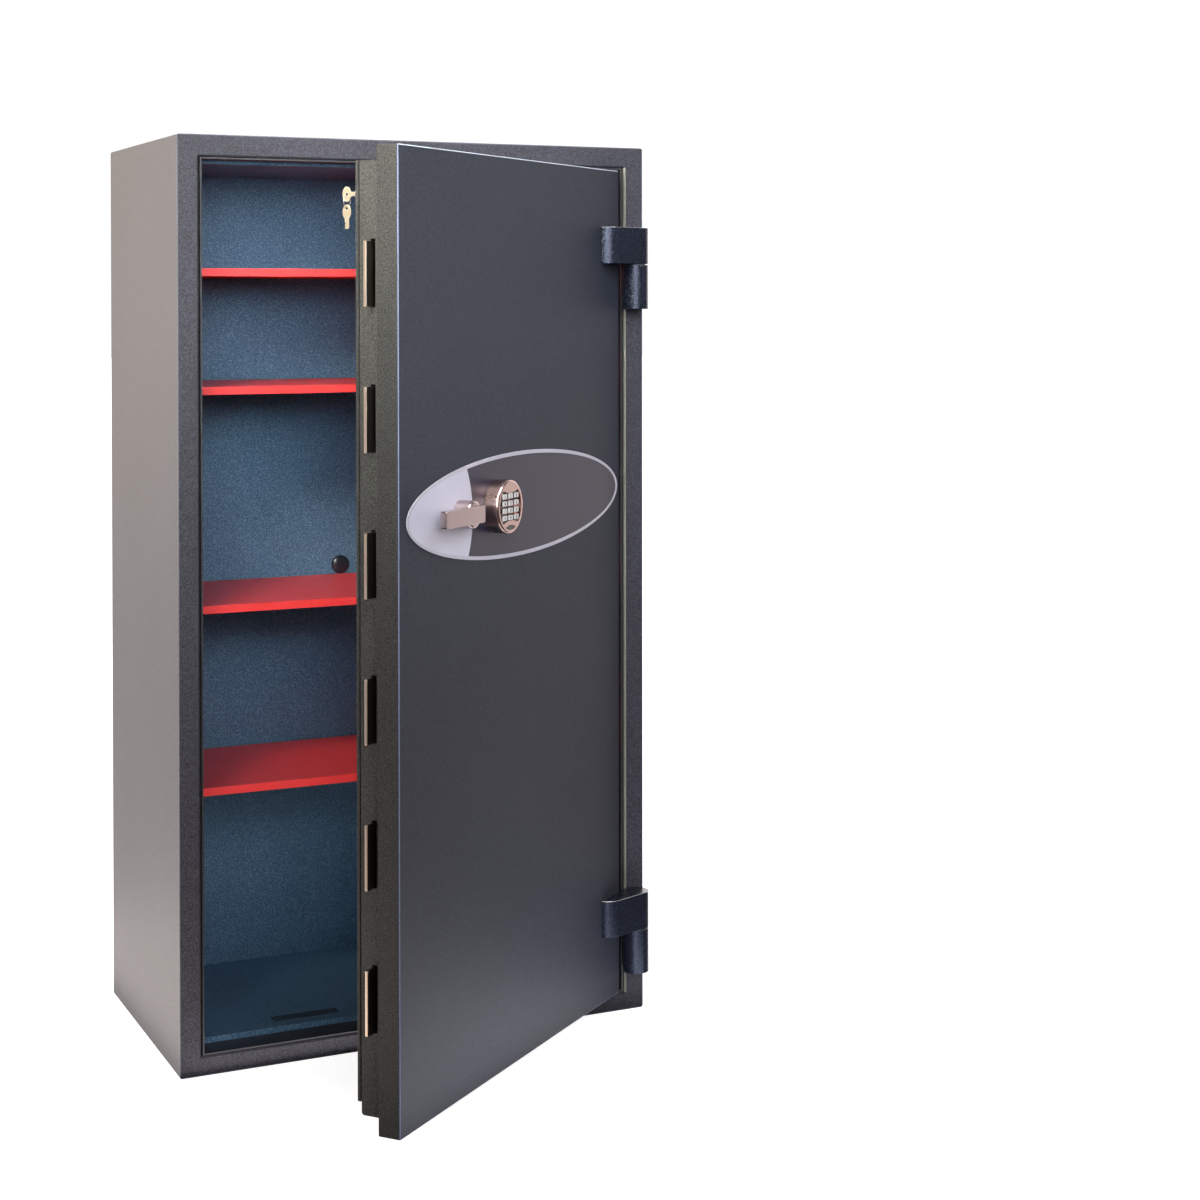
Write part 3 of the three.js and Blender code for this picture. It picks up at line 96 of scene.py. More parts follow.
# %% Where the door stands
mm = 0.001
OPEN_ANGLE = radians(39)
HINGE_AXIS = Vector((0.385, -0.258, 0))
door_turn = (
    Matrix.Translation(HINGE_AXIS)
    @ Matrix.Rotation(OPEN_ANGLE, 4, "Z")
    @ Matrix.Translation(-HINGE_AXIS)
)
CLOSING_SHIFT = tuple(HINGE_AXIS - Matrix.Rotation(-OPEN_ANGLE, 3, "Z") @ HINGE_AXIS)
print("a mapping shuts the door by", [round(v, 4) for v in CLOSING_SHIFT])

# %% [markdown]
# ## Shader maths as expressions
# A node graph is quicker to read as a formula. `Signal` wraps one output socket, and each operator
# adds the Math node it stands for, so `1 - mask * 0.5` builds the graph by itself.

# %% Signals and graphs
class Signal:
    def __init__(self, graph, socket):
        self.graph = graph
        self.socket = socket

    def maths(self, operation, *values):
        pairs = dict(enumerate(values))
        return self.graph.node("ShaderNodeMath", {"operation": operation}, pairs)

    def operator(operation, swapped=False):
        def apply(self, other):
            return self.maths(operation, *((other, self) if swapped else (self, other)))
        return apply

    __add__ = __radd__ = operator("ADD")
    __sub__, __rsub__ = operator("SUBTRACT"), operator("SUBTRACT", swapped=True)
    __mul__ = __rmul__ = operator("MULTIPLY")
    __pow__ = operator("POWER")

    def limited(self):
        return self.graph.node("ShaderNodeClamp", {}, {"Value": self})

    def above(self, limit, steepness=900):
        """A mask that rises from 0 to 1 just past a limit."""
        return ((self - limit) * steepness).limited()

    def below(self, limit, steepness=900):
        return ((limit - self) * steepness).limited()


class Graph:
    def __init__(self, tree):
        self.tree = tree
        tree.nodes.clear()

    def node(self, kind, settings, sockets, output=0):
        """Any node, with each of its sockets linked to a signal or set to a value."""
        made = self.tree.nodes.new(kind)
        for key, value in settings.items():
            setattr(made, key, value)
        for key, value in sockets.items():
            if isinstance(value, Signal):
                self.tree.links.new(value.socket, made.inputs[key])
            else:
                made.inputs[key].default_value = value
        return Signal(self, made.outputs[output]) if made.outputs else made

    def split(self, vector):
        parts = self.node("ShaderNodeSeparateXYZ", {}, {0: vector}).socket.node
        return [Signal(self, socket) for socket in parts.outputs]


# %% [markdown]
# ## One builder for every finish
# Each finish is one Principled shader. What is the same all over goes straight onto the shader's
# own sockets. Only its colour, roughness and normal are linked, which keeps it easy to bake.

# %% Finish
def tone(red, green, blue):
    """A linear colour, from the 0 to 255 numbers of a picture."""
    scaled = [value / 255 for value in (red, green, blue)]
    return tuple(v / 12.92 if v <= 0.04045 else ((v + 0.055) / 1.055) ** 2.4 for v in scaled) + (1,)


finishes = {}


class Finish(Graph):
    def __init__(self, name, **constants):
        self.material = bpy.data.materials.new(name)
        self.material.use_nodes = True
        super().__init__(self.material.node_tree)
        shader = self.node("ShaderNodeBsdfPrincipled", {}, {})
        self.node("ShaderNodeOutputMaterial", {}, {"Surface": shader})
        self.sockets = shader.socket.node.inputs
        for socket, value in constants.items():
            self.sockets[socket.replace("_", " ")].default_value = value
        self.place = self.node("ShaderNodeTexCoord", {}, {}, "Object")
        finishes[name] = self

    def link(self, colour, roughness, normal=None):
        signals = {"Base Color": colour, "Roughness": roughness, "Normal": normal}
        for name, signal in signals.items():
            if signal:
                self.tree.links.new(signal.socket, self.sockets[name])

    def facing(self):
        return self.split(self.node("ShaderNodeNewGeometry", {}, {}, "Normal"))

    def shut_place(self):
        """Where a point of the open door lies when the door is shut."""
        sockets = {"Vector": self.place, "Location": CLOSING_SHIFT, "Rotation": (0, 0, -OPEN_ANGLE)}
        return self.node("ShaderNodeMapping", {}, sockets)

    def noise(self, per_metre, detail=2.0, vector=None, roughness=0.5):
        sockets = {"Vector": vector or self.place, "Scale": per_metre}
        sockets.update({"Detail": detail, "Roughness": roughness})
        return self.node("ShaderNodeTexNoise", {}, sockets, "Fac")

    def cells(self, per_metre):
        sockets = {"Vector": self.place, "Scale": per_metre}
        return self.node("ShaderNodeTexVoronoi", {"feature": "SMOOTH_F1"}, sockets, "Distance")

    def between(self, mask, *sides):
        """A mix of two colours, each a signal or the 0 to 255 numbers of a picture."""
        first, second = (tone(*side) if isinstance(side, tuple) else side for side in sides)
        settings = {"data_type": "RGBA", "clamp_factor": True}
        return self.node("ShaderNodeMix", settings, {0: mask, 6: first, 7: second}, 2)

    def relief(self, height, depth, strength=1.0):
        sockets = {"Height": height, "Distance": depth, "Strength": strength}
        return self.node("ShaderNodeBump", {}, sockets, "Normal")


print("a mid grey of 128 is", round(tone(128, 128, 128)[0], 3), "in linear light")

# %% [markdown]
# ## Graphite powder coat
# The casing and the door are sprayed with a powder that cures to tiny soft bumps, which catch the
# light as pale flecks. Two layers of noise make them, and a third, much wider, the unevenness of
# a sprayed coat. Highlights are painted in as paler colour along the front edges and the top of the
# door, on the lip of the hinge-side jamb and on the hinges' upper roundings. The sides of the door
# and the bolt box are a warmer grey.

# %% Graphite powder coat
FRONT = -0.235
HIGHLIGHT_BAND = 0.002
LIP = 0.0055
LIP_HIGHLIGHT = (138, 138, 126)
HINGE_SIDE = 0.34
DOOR_TOP = 1.4585


def rim_highlight_mask(coat, place, half_x, low_z, high_z):
    """A mask that is 1 along the outer edges of a flat front, where a highlight is painted."""
    x, y, z = coat.split(place)
    middle, half_z = (low_z + high_z) / 2, (high_z - low_z) / 2
    across = x.maths("ABSOLUTE", x) - half_x
    up = x.maths("ABSOLUTE", z - middle) - half_z
    return x.maths("MAXIMUM", across, up).above(-HIGHLIGHT_BAND) * y.below(FRONT + HIGHLIGHT_BAND)


def jamb_lip_highlight(coat):
    """A mask that is 1 on the hinge side's jamb, just behind the front, where a highlight is
    painted.
    """
    x, y, _ = coat.split(coat.place)
    left = coat.facing()[0].below(-0.375, 4)
    return left * x.above(HINGE_SIDE) * y.below(FRONT + LIP)


def casing_highlights(coat, colour, bumps, _):
    # Painted highlights: a paler band along the casing's front edges, and a pale lip on the
    # hinge-side jamb.
    rim_highlight = rim_highlight_mask(coat, coat.place, 0.410, 0.0, 1.5) * (0.5 + bumps * 0.7)
    return coat.between(jamb_lip_highlight(coat), coat.between(rim_highlight, colour, (104, 106, 120)), LIP_HIGHLIGHT)


def door_highlights(coat, colour, bumps, fleck):
    shut = coat.shut_place()
    _, y, z = coat.split(shut)
    # Painted highlights: a bluish band along the door's front edges, and a near-white line along
    # its top.
    rim_highlight = rim_highlight_mask(coat, shut, 0.367, 0.0375, DOOR_TOP) * (0.5 + bumps * 0.7)
    top = z.above(DOOR_TOP - HIGHLIGHT_BAND) * y.below(FRONT + HIGHLIGHT_BAND)
    front = coat.between(top, coat.between(rim_highlight, colour, (128, 136, 170)), (206, 212, 220))
    side = coat.between(fleck, (25, 25, 26), (64, 63, 62))
    return coat.between(y.above(FRONT + HIGHLIGHT_BAND), front, side)


def hinge_highlight(coat, colour, *_):
    """A painted highlight where a rounding looks upwards, but not on a level top."""
    up = coat.facing()[2]
    return coat.between(up.above(0.2, 4) * up.below(0.95, 10), colour, (214, 214, 216))


def powder_coat(name, dark, pale, painted_highlights=None, roughness=0.5, grain=560, depth=0.00026, **constants):
    """A coat with flecks, and an optional function that gives its colour back with painted
    highlights in.
    """
    coat = Finish(name, **{"Metallic": 0.0, "Specular_IOR_Level": 0.2, **constants})
    bumps = coat.noise(grain, 2.5)
    fine = coat.noise(grain * 2.7, 1.0)
    both = bumps * 0.7 + fine * 0.3
    fleck = both.above(0.38, 4)
    colour = coat.between(fleck * 0.75 + coat.noise(3.5) * 0.25, dark, pale)
    coat.link(
        painted_highlights(coat, colour, bumps, fleck) if painted_highlights else colour,
        roughness + bumps * 0.16 - fine * 0.06,
        coat.relief(both, depth),
    )


powder_coat("graphite_coat", (30, 30, 37), (78, 77, 87), casing_highlights)
powder_coat("door_coat", (25, 27, 35), (62, 65, 77), door_highlights)
powder_coat(
    "hinge_coat", (32, 36, 48), (52, 58, 77), hinge_highlight, 0.22, 460, 0.00034,
    Metallic=0.6, Specular_IOR_Level=0.5,
)
powder_coat("box_coat", (28, 28, 29), (74, 73, 71), grain=400, depth=0.0004)
print("coats:", sorted(finishes))

# %% [markdown]
# ## Blue hammer finish
# The liner's paint draws itself into shallow cells with a metallic sheen. Smooth Voronoi cells
# give the dimples, and a noise breaks their regularity. In front of its step the liner is graphite
# like the casing, and this dark band also stands for the shade in the gap behind the frame, so one
# limit on y tells the two paints apart. The floor plate's coat is painted darker, as shade.

# %% Blue hammer finish
REBATE_END = -0.1855
hammer = Finish("blue_coat", Metallic=0.2, Specular_IOR_Level=0.5)
dimple = hammer.cells(520)
ripple = hammer.noise(900)
patch = hammer.noise(14)
dimpled = (dimple * 0.6 + ripple * 0.7).above(0.46, 3) * 0.85 + patch * 0.15
blue = hammer.between(dimpled, (42, 74, 101), (108, 148, 182))
graphite = hammer.between(ripple, (24, 25, 30), (62, 62, 68))
# The graphite band in the rebate is paint, and also painted shade for the gap behind the frame.
rebate_paint_and_shade = hammer.split(hammer.place)[1].below(REBATE_END, 2000)
# The hinge-side jamb's lip gets the same painted highlight as on the casing.
hammer.link(
    hammer.between(jamb_lip_highlight(hammer), hammer.between(rebate_paint_and_shade, blue, graphite), LIP_HIGHLIGHT),
    0.36 + ripple * 0.18,
    hammer.relief(dimple + ripple * 0.35, 0.0004, 0.8),
)

# The floor plate's darker coat is painted shade.
floor_shade = Finish("tread_coat", Metallic=0.1, Specular_IOR_Level=0.3)
floor_shade_grain = floor_shade.noise(620)
floor_shade_mix = floor_shade_grain * 0.6 + floor_shade.noise(7, 3.0) * 0.4
floor_shade.link(
    floor_shade.between(floor_shade_mix, (22, 32, 40), (58, 78, 94)),
    0.5 + floor_shade_grain * 0.2,
    floor_shade.relief(floor_shade_grain, 0.0002, 0.7),
)
print("the spray line lies at y", REBATE_END)

# %% [markdown]
# ## Red shelf enamel
# The shelves are a clear warm red with an orange peel that only bends the highlights. Faces that
# look down are painted darker, as shade under each tray.

# %% Red shelf enamel
enamel = Finish("red_coat", Metallic=0.0, Specular_IOR_Level=0.5)
peel = enamel.noise(260, 1.5)
top_coat = enamel.between(enamel.noise(9), (230, 54, 56), (240, 68, 70))
# Faces that look down are painted darker, as shade under the tray.
underside_shade = enamel.facing()[2].below(-0.2, 3)
enamel.link(
    enamel.between(underside_shade, top_coat, (112, 26, 30)),
    0.3 + peel * 0.14,
    enamel.relief(peel, 0.00018, 0.6),
)
print("enamel has", len(enamel.tree.nodes), "nodes")

# %% [markdown]
# ## Metals
# The bolts are ground steel, dark along their length, with a highlight painted pale at their tips.
# The handle and the keypad are satin nickel, and small hardware is zinc plated. They share one
# recipe: a metal colour, and noise drawn out along the direction of grinding.

# %% Metals
TIP_HIGHLIGHT_END = -0.3612


def ground_metal(name, dark, pale, roughness, stretch, marks=2e-5, vary=1.0, tip=None):
    metal = Finish(name, Metallic=1.0)
    shut = metal.shut_place()
    along = metal.node("ShaderNodeVectorMath", {"operation": "MULTIPLY"}, {0: shut, 1: stretch})
    lines = metal.noise(1, 3.0, along, 0.6)
    smear = metal.noise(45)
    colour = metal.between(lines * 0.6 + smear * 0.4, dark, pale)
    # A painted highlight: the bolts' tips are pale.
    if tip:
        colour = metal.between(metal.split(shut)[0].below(TIP_HIGHLIGHT_END, 2000), colour, tip)
    metal.link(
        colour,
        roughness + (lines * 0.12 + smear * 0.08 - 0.08) * vary,
        metal.relief(lines, marks, 0.6),
    )


ground_metal(
    "bare_steel", (92, 84, 79), (108, 99, 93), 0.35, (200, 200, 6), 1e-6, 0.3, (182, 164, 150),
)
ground_metal("satin_nickel", (178, 159, 159), (200, 182, 180), 0.24, (20, 500, 500), 3e-6, 0.5)
ground_metal("keypad_nickel", (188, 158, 152), (212, 184, 176), 0.24, (200, 900, 200), 3e-6, 0.5)
ground_metal("zinc_plate", (178, 176, 166), (220, 216, 204), 0.26, (500, 500, 500))
ground_metal("key_nickel", (205, 192, 160), (238, 228, 202), 0.32, (400, 400, 120), 4e-6)
ground_metal("oiled_steel", (66, 66, 72), (104, 106, 112), 0.38, (400, 400, 400))
ground_metal("brass", (178, 138, 72), (214, 176, 104), 0.26, (80, 700, 700))
print("metals share", len(finishes["brass"].tree.nodes), "nodes each")

# %% [markdown]
# ## Plastics and lamps
# The keypad's panel and battery drawer are black plastic with a faint spark texture, the wall
# plug is a glossy cap, and two pin-head lamps glow a little. The fill has a coarse, deep grain.

# %% Plastics and lamps
def moulded(name, dark, pale, roughness, grain, depth=4e-5, **constants):
    plastic = Finish(name, Metallic=0.0, **constants)
    spark = plastic.noise(grain)
    plastic.link(
        plastic.between(spark * 0.5 + plastic.noise(60) * 0.5, dark, pale),
        roughness + spark * 0.12 - 0.06,
        plastic.relief(spark, depth, 0.7),
    )


moulded("black_plastic", (18, 18, 20), (34, 33, 36), 0.34, 2600)
moulded("lens_plastic", (14, 12, 14), (30, 26, 28), 0.12, 1800, 1e-5, Coat_Weight=0.5)
moulded("plug_cap", (22, 27, 33), (42, 50, 60), 0.24, 1800, 1e-5)
moulded("key_ink", (44, 41, 43), (66, 62, 64), 0.5, 2600)
moulded("battery_sleeve", (22, 22, 25), (40, 40, 46), 0.35, 1500)
moulded("barrier_fill", (120, 117, 110), (164, 160, 152), 0.9, 240, 0.0008)
moulded(
    "green_lamp", (20, 110, 50), (40, 160, 80), 0.2, 1500,
    Emission_Color=tone(40, 200, 90), Emission_Strength=0.35,
)
moulded(
    "red_lamp", (120, 16, 18), (170, 30, 30), 0.2, 1500,
    Emission_Color=tone(210, 40, 40), Emission_Strength=0.3,
)
print(len(finishes), "finishes so far")

# %% [markdown]
# ## Escutcheon paint
# The big ellipse behind the handle is pale lilac on its left part and dark plum-grey on the rest,
# and the two meet in a shallow arc. The distance from the arc's centre makes the mask.

# %% Escutcheon paint
ARC_X, ARC_Z, ARC_RADIUS = -0.305198, 0.912260, 0.150626


def plate_paint(name, light_tones, dark_tones=None):
    paint = Finish(name, Metallic=0.1, Specular_IOR_Level=0.35)
    satin = paint.noise(900)
    mottle = satin * 0.5 + paint.noise(11) * 0.5
    colour = paint.between(mottle, *light_tones)
    if dark_tones:
        x, _, z = paint.split(paint.shut_place())
        away = ((x - ARC_X) ** 2 + (z - ARC_Z) ** 2) ** 0.5
        right = away.above(ARC_RADIUS - mm / 6, 3000)
        colour = paint.between(right, colour, paint.between(mottle, *dark_tones))
    paint.link(colour, 0.3 + satin * 0.12, paint.relief(satin, 2e-5, 0.6))


plate_paint("lilac_plate", ((190, 187, 203), (206, 203, 217)), ((39, 35, 52), (50, 46, 64)))
plate_paint("plate_border", ((176, 172, 186), (196, 192, 204)))
print("the paints' arc has a radius of", round(ARC_RADIUS, 3), "m")

# %% [markdown]
# ## Helpers for forms
# It is the thin highlight along a rounded edge that makes sheet steel look real. `softened` rounds
# the edges with a Bevel and then weights the normals by face area, so that wide faces stay flat
# and only the rounding is smooth.

# %% Outlines
def circle(x, z, half_x, steps=48, half_z=None):
    """A circle, or an ellipse where its half height differs."""
    angles = [2 * pi * k / steps for k in range(steps)]
    return [(x + half_x * cos(a), z + (half_z or half_x) * sin(a)) for a in angles]


def rounded_outline(x0, x1, z0, z1, radius, steps=6):
    points = []
    for cx, cz, start in (
        (x1 - radius, z1 - radius, 0), (x0 + radius, z1 - radius, 90),
        (x0 + radius, z0 + radius, 180), (x1 - radius, z0 + radius, 270),
    ):
        for k in range(steps + 1):
            a = radians(start + 90 * k / steps)
            points.append((cx + radius * cos(a), cz + radius * sin(a)))
    return points


def domed(radius, face, across, deep, steps):
    """Half a section's rounding, from a flat end at y = face out to a wall at radius."""
    angles = [k / steps * pi / 2 for k in range(steps + 1)]
    return [(radius - across + across * sin(a), face + deep - deep * cos(a)) for a in angles]


# %% Forms
def copy_of(node):
    """The form of a CAD node, its triangles merged into whole faces."""
    form = bmesh.new()
    form.from_mesh(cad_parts[node].data)
    bmesh.ops.remove_doubles(form, verts=form.verts, dist=2e-6)
    return merged(form)


def merged(form):
    flat = radians(0.5)
    bmesh.ops.dissolve_limit(form, angle_limit=flat, verts=form.verts, edges=form.edges)
    return form


def drawn_out(loops, at, shift):
    """Closed outlines (the first outside, the rest holes) filled and drawn out by a shift."""
    form, rims = bmesh.new(), []
    for loop in loops:
        points = [form.verts.new(at(u, v)) for u, v in loop]
        rims += [form.edges.new(pair) for pair in zip(points, points[1:] + points[:1])]
    bmesh.ops.triangle_fill(form, use_beauty=True, edges=rims)
    drawn = bmesh.ops.extrude_face_region(form, geom=form.faces[:])
    moved = [v for v in drawn["geom"] if isinstance(v, bmesh.types.BMVert)]
    bmesh.ops.translate(form, verts=moved, vec=shift)
    return form


def on_front(u, v, w):
    return Vector((u, w, v))


def slab(loops, near, far, at=on_front):
    """Outlines drawn out from near to far."""
    form = drawn_out(loops, lambda u, v: at(u, v, near), at(0, 0, far) - at(0, 0, near))
    bmesh.ops.recalc_face_normals(merged(form), faces=form.faces)
    return form


def skinned(form, rings):
    """Faces from each ring of points to the next. A ring may be a single point."""
    steps = max(len(ring) for ring in rings)
    for one, two in zip(rings, rings[1:]):
        for k in range(steps):
            corners = [one[k % len(one)], one[(k + 1) % len(one)]]
            corners += [two[(k + 1) % len(two)], two[k % len(two)]]
            form.faces.new(list(dict.fromkeys(corners)))
    bmesh.ops.recalc_face_normals(form, faces=form.faces)
    return form


def turned(x, z, profile, steps=96):
    """A form turned about a line along y, from (radius, y) pairs."""
    form = bmesh.new()
    return skinned(form, [
        [form.verts.new((u, y, v)) for u, v in (circle(x, z, r, steps) if r else [(x, z)])]
        for r, y in profile
    ])


# %% Pieces
def settle_mesh(thing):
    """Applies the modifiers of an object."""
    graph = bpy.context.evaluated_depsgraph_get()
    thing.data = bpy.data.meshes.new_from_object(
        thing.evaluated_get(graph), preserve_all_data_layers=True, depsgraph=graph,
    )
    thing.modifiers.clear()
    return thing


def softened(thing, width, segments=2, limit=30, sharp=50):
    """Rounds the edges of an object by width, and weights its normals by face area."""
    if width:
        bevel = thing.modifiers.new("rounding", "BEVEL")
        bevel.width, bevel.segments = width, segments
        bevel.limit_method, bevel.angle_limit = "ANGLE", radians(limit)
        settle_mesh(thing)
    thing.data.shade_smooth()
    thing.data.set_sharp_from_angle(angle=radians(sharp))
    thing.modifiers.new("weights", "WEIGHTED_NORMAL").keep_sharp = True
    return settle_mesh(thing)


def made(name, form, finish):
    mesh = bpy.data.meshes.new(name)
    form.to_mesh(mesh)
    form.free()
    mesh.materials.append(finishes[finish].material)
    return placed(name, mesh)


def settled(thing, body, slot, *nodes):
    """The piece rides on its body and stands for its CAD nodes, which it hides. Its slot is not
    used.
    """
    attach(thing, body)
    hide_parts(*nodes)
    thing.data.name = thing.name
    return thing


def painted(node, finish):
    """A CAD node that keeps its shape and gets a better finish."""
    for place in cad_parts[node].material_slots:
        place.material = finishes[finish].material


def dressed(node, body, finish, width, segments, slot=None, name=None, limit=30):
    """A copy of a CAD node with rounded edges and a better finish."""
    thing = made(name or f"{node}_dressed", copy_of(node), finish)
    return settled(softened(thing, width, segments, limit), body, slot or finish, node)


def on_door(name, form, finish, *nodes, body="door", slot=None, width=0, segments=2, sharp=50):
    """A piece drawn as the door is shut, and turned to where the door stands."""
    bmesh.ops.transform(form, matrix=door_turn, verts=form.verts)
    thing = softened(made(name, form, finish), width, segments, sharp=sharp)
    return settled(thing, body, slot or finish, *nodes)


def carved(thing, *forms):
    """Cuts closed forms out of an object."""
    tools = [made("cutter", form, "black_plastic") for form in forms]
    for tool in tools:
        cut = thing.modifiers.new("cut", "BOOLEAN")
        cut.operation, cut.solver, cut.object = "DIFFERENCE", "EXACT", tool
    settle_mesh(thing)
    for tool in tools:
        bpy.data.objects.remove(tool)
    return thing


print("helpers for", len(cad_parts), "CAD nodes")

# %% [markdown]
# ## Cabinet
# The casing is one folded sheet with a front frame and a jamb, rounded at its corners by the fold.
# A copy of the CAD form with bevelled edges can't drift from the real size.

# %% Cabinet
casing = dressed("outer_casing", "cabinet", "graphite_coat", 1.4 * mm, 3, name="casing_dressed")
liner = dressed("inner_liner", "cabinet", "blue_coat", 0.9 * mm, 2, name="liner_dressed")
painted("barrier_fill", "barrier_fill")
dressed("floor_plate", "cabinet", "tread_coat", 0.4 * mm, 2, slot="blue_coat")
print("casing", len(casing.data.polygons), "faces, liner", len(liner.data.polygons))

# %% [markdown]
# ## Shelves
# Each shelf is a tray of thin sheet, turned down on four sides, which a press brake leaves with a
# bend as round as the sheet is thick. The CAD tray keeps its shape here and only gets that bend.

# %% Shelves
for number in range(1, 5):
    dressed(f"shelf_{number}", "cabinet", "red_coat", 0.7 * mm, 3)
low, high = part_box("shelf_1")
print("shelf fronts are", round((high.z - low.z) / mm, 1), "mm high")

# %% [markdown]
# ## Shelf rails
# A slotted rail is one stretch of strip repeated, so a Geometry Nodes tree makes it: a line of
# points, the stretch set on each, then all of it made real and merged. The rear cover's screws
# are set on points too, so one function builds both trees. The hooked clips are joined on.

# %% Trees
def setting_tree(name, inputs, lay_out, merge=0.0):
    """A tree that sets a piece on points, makes the copies real and gives them a finish."""
    graph = Graph(bpy.data.node_groups.new(name, "GeometryNodeTree"))
    face, sockets = graph.tree.interface, {}
    for label, kind in {**inputs, "Piece": "Object", "Finish": "Material"}.items():
        socket = face.new_socket(label, in_out="INPUT", socket_type=f"NodeSocket{kind}")
        sockets[label] = socket.identifier
    face.new_socket("Geometry", in_out="OUTPUT", socket_type="NodeSocketGeometry")
    entry = graph.node("NodeGroupInput", {}, {}).socket.node
    given = {label: Signal(graph, entry.outputs[label]) for label in sockets}
    piece = graph.node("GeometryNodeObjectInfo", {}, {"Object": given["Piece"]}, "Geometry")
    places = {"Instance": piece, **lay_out(graph, given)}
    copies = graph.node("GeometryNodeInstanceOnPoints", {}, places)
    real = graph.node("GeometryNodeRealizeInstances", {}, {0: copies})
    if merge:
        real = graph.node("GeometryNodeMergeByDistance", {}, {"Geometry": real, "Distance": merge})
    paint = {"Geometry": real, "Material": given["Finish"]}
    graph.node("NodeGroupOutput", {}, {0: graph.node("GeometryNodeSetMaterial", {}, paint)})
    return graph.tree, sockets


def grown(name, tree, sockets, base=None, **values):
    """Runs a tree with its inputs set by identifier, and keeps the result as a plain mesh."""
    thing = placed(name, base or bpy.data.meshes.new(name))
    modifier = thing.modifiers.new("nodes", "NODES")
    modifier.node_group = tree
    for label, value in values.items():
        modifier[sockets[label]] = value
    thing.update_tag()
    return settle_mesh(thing)


def in_a_line(graph, given):
    step = graph.node("ShaderNodeCombineXYZ", {}, {"Z": given["Pitch"]})
    line = {"Count": given["Count"], "Offset": step}
    return {"Points": graph.node("GeometryNodeMeshLine", {"mode": "OFFSET"}, line)}


rail_kit = setting_tree("slotted_rail", {"Count": "Int", "Pitch": "Float"}, in_a_line, 0.02 * mm)
print("rail tree has", len(rail_kit[0].nodes), "nodes")

# %% Stretch and clip
PITCH = 15 * mm
STRIP_WIDTH, STRIP_SHEET = 22 * mm, 2.7 * mm
CLIP = {"sheet": 2 * mm, "width": 18 * mm, "height": 16 * mm, "tongue": 16 * mm}
SHELF_TOPS = [0.434, 0.734, 1.094, 1.289]
SHELF_HEIGHT, SEAT_GAP = 13.5 * mm, 0.3 * mm


def rail_stretch(x_in, x_out, y_middle):
    """A stretch of strip, open at both ends, with one upright slot through it."""
    half, slot_half, slot_reach = STRIP_WIDTH / 2, 2.2 * mm, 4.6 * mm
    outline = [(-half, 0), (half, 0), (half, PITCH), (-half, PITCH)]
    slot = []
    for k in range(12):
        a = 2 * pi * k / 12
        lift = slot_reach - slot_half if sin(a) > 0.01 else slot_half - slot_reach
        slot.append((slot_half * cos(a), PITCH / 2 + lift + slot_half * sin(a)))
    shift = (x_out - x_in, 0, 0)
    form = drawn_out((outline, slot), lambda u, v: (x_in, y_middle + u, v), shift)
    ends = [
        face for face in form.faces
        if all(v.co.z < 1e-6 for v in face.verts) or all(v.co.z > PITCH - 1e-6 for v in face.verts)
    ]
    bmesh.ops.delete(form, geom=ends, context="FACES_ONLY")
    bmesh.ops.recalc_face_normals(form, faces=form.faces)
    return form


def clip_form(side, face_x, y, foot):
    """A hooked clip: a plate against the rail, bent round into the tongue under the shelf."""
    sheet, bend = CLIP["sheet"], 1.5 * mm
    wide = bend + sheet
    angles = [k / 4 * pi / 2 for k in range(5)]
    points = [(0, CLIP["height"]), (0, wide)]
    points += [(-bend + bend * cos(a), sheet + bend - bend * sin(a)) for a in angles]
    points += [(-CLIP["tongue"], sheet), (-CLIP["tongue"], 0), (-bend, 0)]
    points += [(-bend + wide * sin(a), wide - wide * cos(a)) for a in angles[1:]]
    points += [(sheet, CLIP["height"])]
    low, high = y - CLIP["width"] / 2, y + CLIP["width"] / 2
    return slab(
        [points], low, high, lambda u, v, w: Vector((face_x + side * (u - sheet), w, foot + v)),
    )


print("clips hold shelves at", SHELF_TOPS)

# %% The four rails
for place in ("front_left", "front_right", "back_left", "back_right"):
    node = f"shelf_rail_{place}"
    side = -1 if "left" in node else 1
    low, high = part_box(node)
    wall_x = low.x if side < 0 else high.x
    face_x = wall_x - side * STRIP_SHEET
    middle_y = (low.y + high.y) / 2
    count = int((high.z - low.z) / PITCH)
    start = low.z + ((high.z - low.z) - count * PITCH) / 2
    unit = made("stretch", rail_stretch(face_x, wall_x, middle_y), "blue_coat")
    strip = grown(
        f"{node}_strip", *rail_kit,
        Piece=unit, Count=count, Pitch=PITCH, Finish=finishes["blue_coat"].material,
    )
    whole = bmesh.new()
    whole.from_mesh(strip.data)
    bmesh.ops.translate(whole, verts=whole.verts, vec=(0, 0, start))
    bmesh.ops.holes_fill(whole, edges=[e for e in whole.edges if e.is_boundary], sides=0)
    bmesh.ops.recalc_face_normals(whole, faces=whole.faces)
    for top in SHELF_TOPS:
        foot = top - SHELF_HEIGHT - SEAT_GAP - CLIP["sheet"]
        clip = made("clip", clip_form(side, face_x, middle_y, foot), "blue_coat")
        whole.from_mesh(clip.data)
        bpy.data.objects.remove(clip)
    for helper in (unit, strip):
        bpy.data.objects.remove(helper)
    rail = softened(made(f"{node}_slotted", whole, "blue_coat"), 0)
    settled(rail, "cabinet", "blue_coat", node)
print("each rail has", count, "slots at", PITCH / mm, "mm")

# %% [markdown]
# ## Wall plug and hinges
# A domed plug closes the bolt hole in the back wall: half a section, spun. The hinges are machined
# blocks, so their edges are broken wider than those of the sheet.

